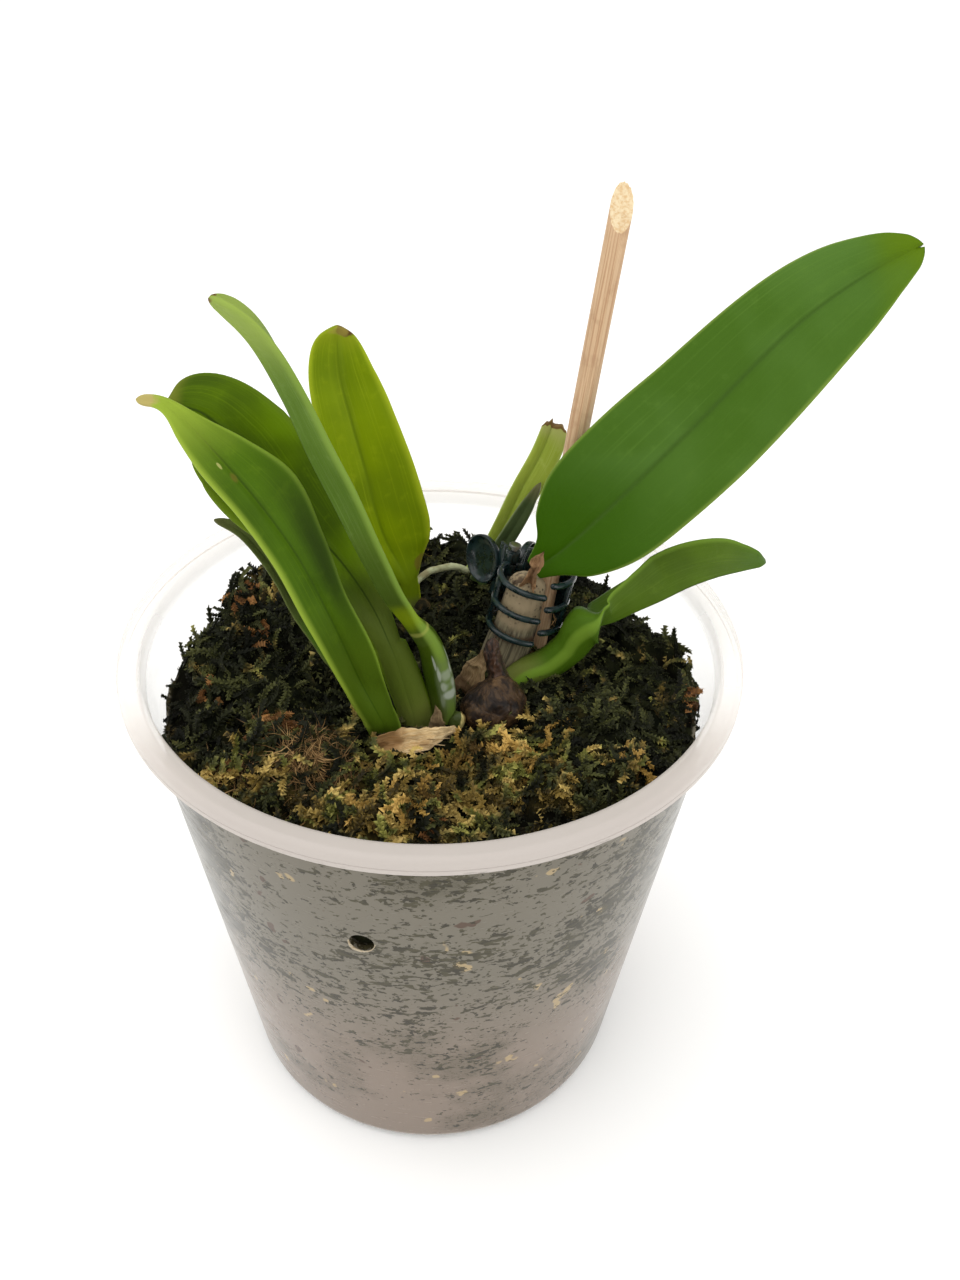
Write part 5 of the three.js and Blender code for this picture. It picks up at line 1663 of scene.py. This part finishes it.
def makePlug(part):
    draw = lehmer(part["seed"])
    bumps = list(part["humps"])
    for _ in range(part["clumps"]):
        angle, r = 2 * math.pi * next(draw), 50 * math.sqrt(next(draw))
        bumps.append([r * math.cos(angle), r * math.sin(angle), 2.6 * next(draw) - 1, 4 + 4 * next(draw)])
    bumps += part["tufts"]

    def heightAt(x, y):
        raised = (h * math.exp(-((x - a) ** 2 + (y - b) ** 2) / w**2) for a, b, h, w in bumps)
        return part["level"] + sum(raised)

    around, rings, contact, droop = part["around"], part["rings"], part["wallContact"], part["droop"]
    foot = pot["corner"] + pot["floor"]
    columns, cover, flanks, rises = [], [], [], []
    for turn in turnsOf(around):
        degrees = math.degrees(turn) if turn <= math.pi else math.degrees(turn) - 360
        x, y = math.cos(turn), math.sin(turn)
        edge = wallAt(part["level"]) - along(part["shrink"], degrees)
        edge += 0.8 * bump(x * 50, y * 50, 3, 5) * min(1, (wallAt(part["level"]) - edge) / 3)
        column = []
        for k in range(1, rings + 1):
            t = k / rings
            r = edge * t
            z = heightAt(r * x, r * y) - droop["steepness"] * max(0.0, t - droop["start"]) ** 2
            relief, rise = clumpRelief(r * x, r * y)
            z += relief
            rises.append(rise)
            column.append(Vector((r * x, r * y, z)))
            cover.append(smoothStep(0.1, 0.9, wallAt(z) - r))
            flanks.append(smoothStep(0.975, 1.0, t) * (1 - smoothStep(0.8, 2.0, wallAt(z) - r)))
        flankZ = contact + 3.5
        flankR = edge + 0.7 * (wallAt(contact) - edge)
        low = [(flankR, flankZ), (wallAt(contact), contact)]
        low += [(wallAt(z), z) for z in np.linspace(contact, foot, part["sideRows"])[1:]]
        low += [(wallAt(foot) - pot["corner"], pot["floor"] + part["gap"])]
        lastTop = column[-1]
        topR = math.hypot(lastTop.x, lastTop.y)
        for share in (0.33, 0.66):
            r = topR + (flankR - topR) * share
            column.append(Vector((r * x, r * y, lastTop.z + (flankZ - lastTop.z) * share)))
            free = smoothStep(0.8, 3.0, wallAt(lastTop.z) - r)
            cover.append(free)
            flanks.append(1 - free)
            rises.append(0.8)
        for r, z in low:
            hollow = 0.55 * max(0.0, bump(r * x, r * y * 1.3, z * 3, 9))
            hollow += 0.2 * max(0.0, bump(r * x, r * y, z, 2))
            column.append(Vector(((r - hollow) * x, (r - hollow) * y, z)))
            bare = smoothStep(70, 86, z)
            cover.append(0.6 * smoothStep(2.5, 5.0, wallAt(z) - r) * bare)
            flanks.append(1.0 - smoothStep(1.5, 3.5, wallAt(z) - r) * bare)
            rises.append(0.7)
        columns.append(column)
    depth = len(columns[0])
    points = [p for column in columns for p in column]
    points += [Vector((0, 0, heightAt(0, 0))), Vector((0, 0, pot["floor"] + part["gap"]))]
    cover += [1.0, 0.0]
    flanks += [0.0, 1.0]
    rises += [0.7, 0.7]
    crown, base = len(points) - 2, len(points) - 1
    faces = []
    for i in range(around):
        here, there = i * depth, (i + 1) % around * depth
        faces.append([crown, here, there])
        faces.append([base, there + depth - 1, here + depth - 1])
        faces += [[here + j, here + j + 1, there + j + 1, there + j] for j in range(depth - 1)]
    plug = pointOut(makeObject("moss_plug", points, faces))
    for name, values in (
        ("cover", cover),
        ("flank", flanks),
        ("rise", rises),
        *((kind, [nearness(p, places) for p in points]) for kind, places in growth.items()),
    ):
        mark = plug.data.attributes.new(name, "FLOAT", "POINT")
        if name in growth:
            values = [a * b * (1 - nearness(p, clearPlaces)) for a, b, p in zip(values, cover, points)]
        if name in ("olive", "gold"):
            values = [a * (1 - 0.85 * nearness(p, growth["tan"])) for a, p in zip(values, points)]
        if name == "cover":
            values = [a * (0.4 + 0.6 * b) * openness(p) for a, b, p in zip(values, rises, points)]
        mark.data.foreach_set("value", values)
    return plug


def openness(p):
    # tufts of their own kind stand alone, and open pieces are left clear
    taken = nearness(p, growth["tan"]) * 0.85 + nearness(p, growth["rust"]) * 0.7
    return max(0.0, 1 - taken) * (1 - nearness(p, clearPlaces))


def nearness(p, places):
    return min(1.0, sum(s * math.exp(-((p.x - x) ** 2 + (p.y - y) ** 2) / r**2) for x, y, r, s in places))


plug = makePlug(moss)
plugFinish, tree, shader = newMaterial("plugFinish", Roughness=0.9, Specular_IOR_Level=0.06)
place = objectPlace(tree)
side = useGroup(tree, pressedMoss)["Color"]
deep = patches(tree, place, 300, 4.0)
ground = blend(tree, deep, 0.4, 0.62, seen(16, 19, 10), seen(36, 38, 20))
warm = stored(tree, "olive")
warmGround = blend(tree, deep, 0.4, 0.62, seen(30, 26, 10), seen(72, 62, 28))
ground = blend(tree, warm, 0.1, 0.7, ground, warmGround)
# painted shade: in the creases, where rise is low, the ground darkens nearly to black
rise = stored(tree, "rise")
ground = blend(tree, rise, 0.85, 0.5, ground, seen(15, 14, 7))
flank = stored(tree, "flank")
for angle in pot["holes"]["angles"]:
    # behind an open hole the moss itself shows
    turn, out = math.radians(angle), pot["holes"]["ring"] * mm
    spot = (out * math.cos(turn), out * math.sin(turn), pot["holes"]["height"] * mm)
    away = vectorCalc(tree, "DISTANCE", place, spot, "Value")
    side = blend(tree, away, 0.0031, 0.0027, side, ground)
color = blend(tree, flank, 0.2, 0.8, ground, side)
wire(tree, shader, Base_Color=color, height=(deep, 0.0006))
plug.data.materials.append(plugFinish)
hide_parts("moss")
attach(plug, plantBody)
print("moss plug made")


# sprigs, instanced over the top of the moss

def bentPath(spot, way, bend, steps, length):
    path = [spot]
    for _ in range(steps):
        way = (way + bend / steps).normalized()
        path.append(path[-1] + way * length / steps)
    return path


def spindle(first, rings, last):
    # the faces of a closed body: rings of corners between its two end corners
    faces, sides = [], len(rings[0])
    for j in range(sides):
        m = (j + 1) % sides
        faces += [[first, rings[0][m], rings[0][j]], [last, rings[-1][j], rings[-1][m]]]
        faces += [[low[j], low[m], high[m], high[j]] for low, high in zip(rings, rings[1:])]
    return faces


def makeSprig(name, strands, length, width, spreadOut, curl, apart):
    # a few strands that run together
    points, faces, steps = [], [], 4
    for _ in range(strands):
        heading = random.uniform(-spreadOut, spreadOut) + random.choice((0, math.pi))
        way = Vector((math.cos(heading), math.sin(heading), random.uniform(-0.1, 0.22)))
        x, y = random.uniform(-apart, apart), random.uniform(-apart, apart)
        spot = Vector((x, y, random.uniform(-0.5, 0.2)))
        reach = length * random.uniform(0.6, 1.3)
        spot -= way * reach * 0.4
        wide = width * random.uniform(0.6, 1.3)
        bend = Vector((random.uniform(-curl, curl), random.uniform(-curl, curl), random.uniform(-0.9, 0.1)))
        path = bentPath(spot, way, bend, steps, reach)
        first = len(points)
        points.append(path[0])
        rings = []
        for k in range(1, steps):
            run = (path[k + 1] - path[k - 1]).normalized()
            across = run.cross(Vector((0, 0, 1)))
            across = across.normalized() if across.length > 0.1 else Vector((1, 0, 0))
            deep = run.cross(across)
            size = wide * (0.9, 1.0, 0.7)[k - 1] / 2
            rings.append(range(len(points), len(points) + 3))
            for turn in turnsOf(3):
                a = turn + 0.7 * k
                points.append(path[k] + across * size * math.cos(a) + deep * size * 0.6 * math.sin(a))
        points.append(path[-1])
        faces += spindle(first, rings, len(points) - 1)
    return storeSprig(name, points, faces, [0.6] * len(points))


def makeFrond(name, length, reach, leaflets, curl):
    # a bent stem with small pointed leaflets down both sides
    points, faces = [], []
    way = Vector((1, random.uniform(-0.3, 0.3), random.uniform(0.05, 0.45))).normalized()
    bend = Vector((0, random.uniform(-curl, curl), random.uniform(-1.5, -0.3)))
    steps = 6
    start = Vector((-0.4 * length, random.uniform(-0.3, 0.3), -0.4))
    path = bentPath(start, way, bend, steps, length)

    def addSpike(root, base, out, size, wide):
        first = len(points)
        half = base * wide / 2
        points.extend([root - half, root + half, root - Vector((0, 0, 0.14)), root + out * size])
        for face in ((0, 1, 3), (1, 2, 3), (2, 0, 3), (0, 2, 1)):
            faces.append([first + i for i in face])

    for a, b in zip(path[:-1:2], path[2::2]):
        run = b - a
        side = run.cross(Vector((0, 0, 1))).normalized()
        addSpike(a - run * 0.05, side, run.normalized(), run.length * 1.15, 0.3)
    for k in range(leaflets):
        s = (k + 0.6) / leaflets * steps
        i = min(int(s), steps - 1)
        spot = path[i].lerp(path[i + 1], s - i)
        run = (path[i + 1] - path[i]).normalized()
        side = run.cross(Vector((0, 0, 1))).normalized() * (1 if k % 2 else -1)
        out = (run * 0.75 + side + Vector((0, 0, random.uniform(-0.25, 0.5)))).normalized()
        size = reach * (0.35 + 0.75 * math.sin(math.pi * (0.12 + 0.8 * s / steps)))
        size *= random.uniform(0.7, 1.25)
        addSpike(spot, run, out, size, random.uniform(0.5, 0.75))
    # painted highlight and shade: each leaflet's point is lighter and the corner under its root darker
    return storeSprig(name, points, faces, [0.3, 0.3, 0.1, 0.9] * (len(points) // 4))


def makePlume(name, length, width, curl, lift):
    # a bent shoot, rough with overlapping pointed leaflets
    sides, steps = 4, 16
    way = Vector((1, random.uniform(-0.3, 0.3), random.uniform(0.2, 1.0) * lift)).normalized()
    sideways = random.choice((-1, 1)) * random.uniform(0.3, 1) * curl
    bend = Vector((0, sideways, random.uniform(-1.6, -0.2) * lift))
    path = [Vector((-0.4 * length, 0, -0.5))]
    for _ in range(steps):
        turned = Vector((-way.y, way.x, 0)) * bend.y + Vector((0, 0, bend.z))
        way = (way + turned / steps).normalized()
        path.append(path[-1] + way * length / steps)
    points, tips, rings = [path[0]], [0.0], []
    for k in range(1, steps):
        share = k / steps
        run = (path[k + 1] - path[k - 1]).normalized()
        across = run.cross(Vector((0, 0, 1))).normalized()
        deep = run.cross(across)
        size = width / 2 * math.sin(math.pi * (0.1 + 0.78 * share)) ** 0.7
        rings.append(range(len(points), len(points) + sides))
        for j, turn in enumerate(turnsOf(sides)):
            out = (j + k) % 2
            reach = size * ((1.45 if out else 0.55) + random.uniform(-0.3, 0.3) * out)
            spot = path[k] + (across * math.cos(turn) + deep * math.sin(turn) * 0.8) * reach
            points.append(spot + run * (0.9 * length / steps * out))
            # painted highlight and shade: the leaflet points are lighter and the corners in the hollows
            # between them darker; the shoot also lightens towards its tip, partly fresher growth and partly
            # painted highlight
            tips.append((0.3 + 0.7 * share) * (1.0 if out else 0.3))
    points.append(path[-1])
    tips.append(1.0)
    return storeSprig(name, points, spindle(0, rings, len(points) - 1), tips)


def storeSprig(name, points, faces, tips):
    # a sprig kept out of the scene, with a tip value at each corner: how near it is to the tip, with painted
    # highlight and painted shade in it
    sprig = makeObject(name, points, faces, smooth=False)
    sprig.data.attributes.new("tip", "FLOAT", "POINT").data.foreach_set("value", tips)
    pointOut(sprig)
    bpy.context.scene.collection.objects.unlink(sprig)
    return sprig


def makeSprigSet(name, count, maker, **shape):
    folder = bpy.data.collections.new(name)
    for k in range(count):
        folder.objects.link(maker(name + str(k), **shape))
    return folder


def makeScatter():
    # sprigs on the faces of a mesh where an attribute says so, turned at random about the surface
    tree = bpy.data.node_groups.new("scatterSprigs", "GeometryNodeTree")

    def socket(name, kind, inOut="INPUT"):
        return tree.interface.new_socket(name=name, in_out=inOut, socket_type="NodeSocket" + kind)

    socket("Geometry", "Geometry")
    socket("Where", "String")
    for name in ("Density", "Spacing", "Smallest", "Largest", "Lean", "Stray", "Comb"):
        socket(name, "Float")
    for name, kind in (("Seed", "Int"), ("Sprigs", "Collection"), ("Finish", "Material")):
        socket(name, kind)
    socket("Geometry", "Geometry", "OUTPUT")
    given = tree.nodes.new("NodeGroupInput").outputs

    def node(kind, inputs, **settings):
        return placeNode(tree, kind, inputs, settings)

    where = node("GeometryNodeInputNamedAttribute", {"Name": given["Where"]}, data_type="FLOAT")
    spots = node(
        "GeometryNodeDistributePointsOnFaces",
        {"Mesh": given["Geometry"], "Distance Min": given["Spacing"], "Density Max": given["Density"],
         "Density Factor": where.outputs["Attribute"], "Seed": given["Seed"]},
        distribute_method="POISSON",
    )
    lean = node("ShaderNodeCombineXYZ", {0: given["Lean"], 1: given["Lean"], 2: given["Stray"]})
    least = node("ShaderNodeVectorMath", {0: lean.outputs[0], 1: (-1.0, -1.0, -1.0)}, operation="MULTIPLY")
    turn = node(
        "FunctionNodeRandomValue", {0: least.outputs[0], 1: lean.outputs[0], "Seed": given["Seed"]},
        data_type="FLOAT_VECTOR",
    )
    # neighbouring sprigs lie much the same way, as if combed
    comb = node("ShaderNodeTexNoise", {"Scale": given["Comb"], "Detail": 1.0}).outputs[0]
    heading = node("ShaderNodeMath", {0: comb, 1: 22.0}, operation="MULTIPLY").outputs[0]
    combed = node("ShaderNodeCombineXYZ", {2: heading}).outputs[0]
    headed = node("ShaderNodeVectorMath", {0: turn.outputs[0], 1: combed}, operation="ADD").outputs[0]
    euler = node("FunctionNodeEulerToRotation", {0: headed})
    rotation = node(
        "FunctionNodeRotateRotation", {0: spots.outputs["Rotation"], 1: euler.outputs[0]},
        rotation_space="LOCAL",
    )
    size = node("FunctionNodeRandomValue", {2: given["Smallest"], 3: given["Largest"], "Seed": given["Seed"]})
    pick = node("FunctionNodeRandomValue", {4: 0, 5: 99, "Seed": given["Seed"]}, data_type="INT")
    folder = node(
        "GeometryNodeCollectionInfo",
        {"Collection": given["Sprigs"], "Separate Children": True, "Reset Children": True},
    )
    copies = node(
        "GeometryNodeInstanceOnPoints",
        {"Points": spots.outputs["Points"], "Instance": folder.outputs[0], "Pick Instance": True,
         "Instance Index": pick.outputs[2], "Rotation": rotation.outputs[0], "Scale": size.outputs[1]},
    )
    chance = node("FunctionNodeRandomValue", {2: 0.0, 3: 1.0, "Seed": 11})
    tinted = node(
        "GeometryNodeStoreNamedAttribute",
        {"Geometry": copies.outputs[0], "Name": "tint", "Value": chance.outputs[1]},
        data_type="FLOAT", domain="INSTANCE",
    )
    solid = node("GeometryNodeRealizeInstances", {0: tinted.outputs[0]})
    dressed = node("GeometryNodeSetMaterial", {"Geometry": solid.outputs[0], "Material": given["Finish"]})
    tree.links.new(dressed.outputs[0], tree.nodes.new("NodeGroupOutput").inputs[0])
    return tree


def sprigMaterial(name, tones, warmTones=None):
    # each copy has its own tint; warmer tones take over where the growth is olive
    material, tree, shader = newMaterial(name, Roughness=0.62, Specular_IOR_Level=0.2)
    tint = stored(tree, "tint")
    place = objectPlace(tree)
    broad = patches(tree, place, 110, 2.0)
    fine = patches(tree, place, 1300, 2.0)
    tip = stored(tree, "tip")
    share = plus(tree, times(tree, tint, 0.42), times(tree, broad, 0.5))
    # the tip value lightens the sprig: fresher growth at the tips, with painted highlight and painted shade
    # in it
    share = plus(tree, share, times(tree, tip, 0.3))

    def ramp(low, middle, high):
        color = blend(tree, share, 0.35, 0.62, low, middle)
        color = blend(tree, share, 0.62, 0.82, color, high)
        return blend(tree, fine, 0.5, 0.3, color, low, 0.5)

    color = ramp(*tones)
    if warmTones:
        warm = stored(tree, "olive")
        uneven = swing(tree, patches(tree, place, 150, 2.0), 4.6, 0.515)
        # the live growth is green in places and brown in others
        lush = patches(tree, moved(tree, place, turn=(0.4, 0.2, 0.3)), 170, 2.0)
        lush = remap(tree, lush, 0.49, 0.57, 0.0, 0.8)
        grown = mixTone(tree, lush, ramp(*warmTones), ramp(*lushTones))
        color = blend(tree, plus(tree, warm, uneven), 0.35, 0.95, color, grown)
    # painted shade: deep in the creases, where rise is low, the sprigs darken nearly to black
    rise = stored(tree, "rise")
    color = blend(tree, rise, 0.75, 0.25, color, seen(16, 15, 8), 0.8)
    wire(tree, shader, Base_Color=color)
    return material


def keepInside(piece):
    # strands that would pass through the pot's wall lie along it
    mesh = piece.data
    places = np.empty(len(mesh.vertices) * 3, np.float32)
    mesh.vertices.foreach_get("co", places)
    places = places.reshape(-1, 3)
    reach = np.hypot(places[:, 0], places[:, 1])
    room = (potRadius(np.minimum(places[:, 2] / mm, pot["wallTop"])) - pot["wall"] - 0.12) * mm
    places[:, :2] *= np.minimum(1.0, room / np.maximum(reach, 1e-6))[:, None]
    mesh.vertices.foreach_set("co", places.ravel())
    mesh.update()


random.seed(21)
fineFronds = makeSprigSet("fineFrond", 8, makeFrond, length=4.8, reach=1.0, leaflets=10, curl=1.0)
plumes = makeSprigSet("plume", 12, makePlume, length=6.6, width=1.2, curl=2.4, lift=0.6)
curls = makeSprigSet("curl", 10, makePlume, length=7.4, width=1.35, curl=6.0, lift=1.2)
knobs = makeSprigSet("knob", 8, makePlume, length=5.0, width=1.8, curl=1.2, lift=1.8)
shreds = makeSprigSet(
    "shred", 8, makeSprig, strands=12, length=6.5, width=0.24, spreadOut=0.16, curl=1.6, apart=1.2
)
darkTones = [seen(21, 23, 10), seen(43, 46, 22), seen(86, 88, 46)]
oliveTones = [seen(60, 50, 22), seen(152, 126, 60), seen(216, 186, 108)]
lushTones = [seen(28, 36, 14), seen(86, 98, 38), seen(156, 160, 76)]
goldTones = [seen(84, 64, 28), seen(160, 126, 58), seen(218, 178, 98)]
tanTones = [seen(56, 40, 22), seen(122, 92, 54), seen(188, 150, 98)]
rustTones = [seen(54, 35, 18), seen(120, 80, 42), seen(178, 128, 74)]
# each layer: where, most per square millimetre, least spacing, sizes, lean, stray, sprigs and tones
mossLayers = {
    "under": ["cover", 0.34, 1.1, 0.8, 1.3, 0.3, 0.8, fineFronds, darkTones, oliveTones],
    "over": ["cover", 0.26, 1.2, 0.7, 1.3, 0.5, 1.0, plumes, darkTones, oliveTones],
    "upper": ["cover", 0.22, 1.3, 0.6, 1.1, 0.7, 3.0, plumes, darkTones, oliveTones],
    "olive": ["olive", 0.4, 0.95, 0.6, 1.15, 0.6, 2.0, curls, darkTones, oliveTones],
    "gold": ["gold", 0.7, 0.8, 0.6, 1.1, 0.9, 3.0, curls, goldTones, None],
    "tan": ["tan", 1.2, 0.6, 0.7, 1.1, 0.3, 0.3, shreds, tanTones, None],
    "rust": ["rust", 1.2, 0.6, 0.5, 0.85, 1.3, 1.5, knobs, rustTones, None],
}
scatter = makeScatter()
for number, (key, layer) in enumerate(mossLayers.items()):
    where, density, spacing, smallest, largest, lean, stray, folder, tones, warmTones = layer
    sprigs = bpy.data.objects.new("moss_" + key, plug.data.copy())
    bpy.context.scene.collection.objects.link(sprigs)
    sprigs.data.materials.clear()
    modifier = sprigs.modifiers.new("scatter", "NODES")
    modifier.node_group = scatter
    values = {
        "Where": where,
        "Density": density * 1.0 * 1e6,
        "Spacing": spacing * mm,
        "Smallest": smallest,
        "Largest": largest,
        "Lean": lean,
        "Stray": stray,
        "Comb": 70.0,
        "Seed": 5 + number,
        "Sprigs": folder,
        "Finish": sprigMaterial("mossFinish_" + key, tones, warmTones),
    }
    for item in scatter.interface.items_tree:
        if item.in_out == "INPUT" and item.name in values:
            modifier[item.identifier] = values[item.name]
    freeze(sprigs)
    keepInside(sprigs)
    print("moss", key, "triangles", sum(len(face.vertices) - 2 for face in sprigs.data.polygons))
    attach(sprigs, plantBody)
print("moss made")


# floor, light and camera

paper = {"half": 3000, "level": -0.2}
square = [(-1, -1), (1, -1), (1, 1), (-1, 1)]
corners = [(x * paper["half"], y * paper["half"], paper["level"]) for x, y in square]
floor = makeObject("floor", corners, [[0, 1, 2, 3]])
floorFinish, tree, shader = newMaterial("floorFinish", Roughness=0.85, Specular_IOR_Level=0.1)
cloud = patches(tree, objectPlace(tree), 6, 2.0)
wire(tree, shader, Base_Color=mixTone(tree, cloud, tone(252, 252, 251), tone(254, 254, 253)))
floor.data.materials.append(floorFinish)

world = bpy.data.worlds.new("studio")
bpy.context.scene.world = world
world.use_nodes = True
studio = {"tone": (1.0, 0.995, 0.985, 1.0), "ambient": 1.1, "mirrored": 0.2}
tree = world.node_tree
glossy = addNode(tree, "LightPath").outputs["Is Glossy Ray"]
background = tree.nodes["Background"]
background.inputs[0].default_value = studio["tone"]
tree.links.new(remap(tree, glossy, 0.0, 1.0, studio["ambient"], studio["mirrored"]), background.inputs[1])

lamps = {
    "key": {"place": (-0.5, -0.1, 0.9), "size": 1.5, "power": 4.5},
    "fill": {"place": (0.6, -0.6, 0.6), "size": 0.8, "power": 1.8},
}
for name, lamp in lamps.items():
    data = bpy.data.lights.new(name, "AREA")
    data.shape = "DISK"
    data.size = lamp["size"]
    data.energy = lamp["power"]
    light = bpy.data.objects.new(name, data)
    light.location = lamp["place"]
    aim = Vector((0, 0, 0.1)) - Vector(lamp["place"])
    light.rotation_euler = aim.to_track_quat("-Z", "Y").to_euler()
    bpy.context.scene.collection.objects.link(light)

view = {"place": (-0.603, -172.14, 233.786), "yaw": 0.0552, "pitch": 0.6477, "roll": 0.0292, "lens": 31.875}
forward = Vector((
    math.sin(view["yaw"]) * math.cos(view["pitch"]),
    math.cos(view["yaw"]) * math.cos(view["pitch"]),
    -math.sin(view["pitch"]),
))
level = Vector((math.cos(view["yaw"]), -math.sin(view["yaw"]), 0.0))
upright = level.cross(forward)
right = level * math.cos(view["roll"]) + upright * math.sin(view["roll"])
above = upright * math.cos(view["roll"]) - level * math.sin(view["roll"])
cameraData = bpy.data.cameras.new("camera")
cameraData.lens = view["lens"]
cameraData.sensor_width = 36.0
cameraData.clip_start = 0.01
camera = bpy.data.objects.new("camera", cameraData)
turn = Matrix((right, above, -forward)).transposed().to_4x4()
camera.matrix_world = Matrix.Translation(Vector(view["place"]) * mm) @ turn
bpy.context.scene.collection.objects.link(camera)
bpy.context.scene.camera = camera
bpy.context.scene.view_settings.view_transform = "Standard"

print("scene ready")
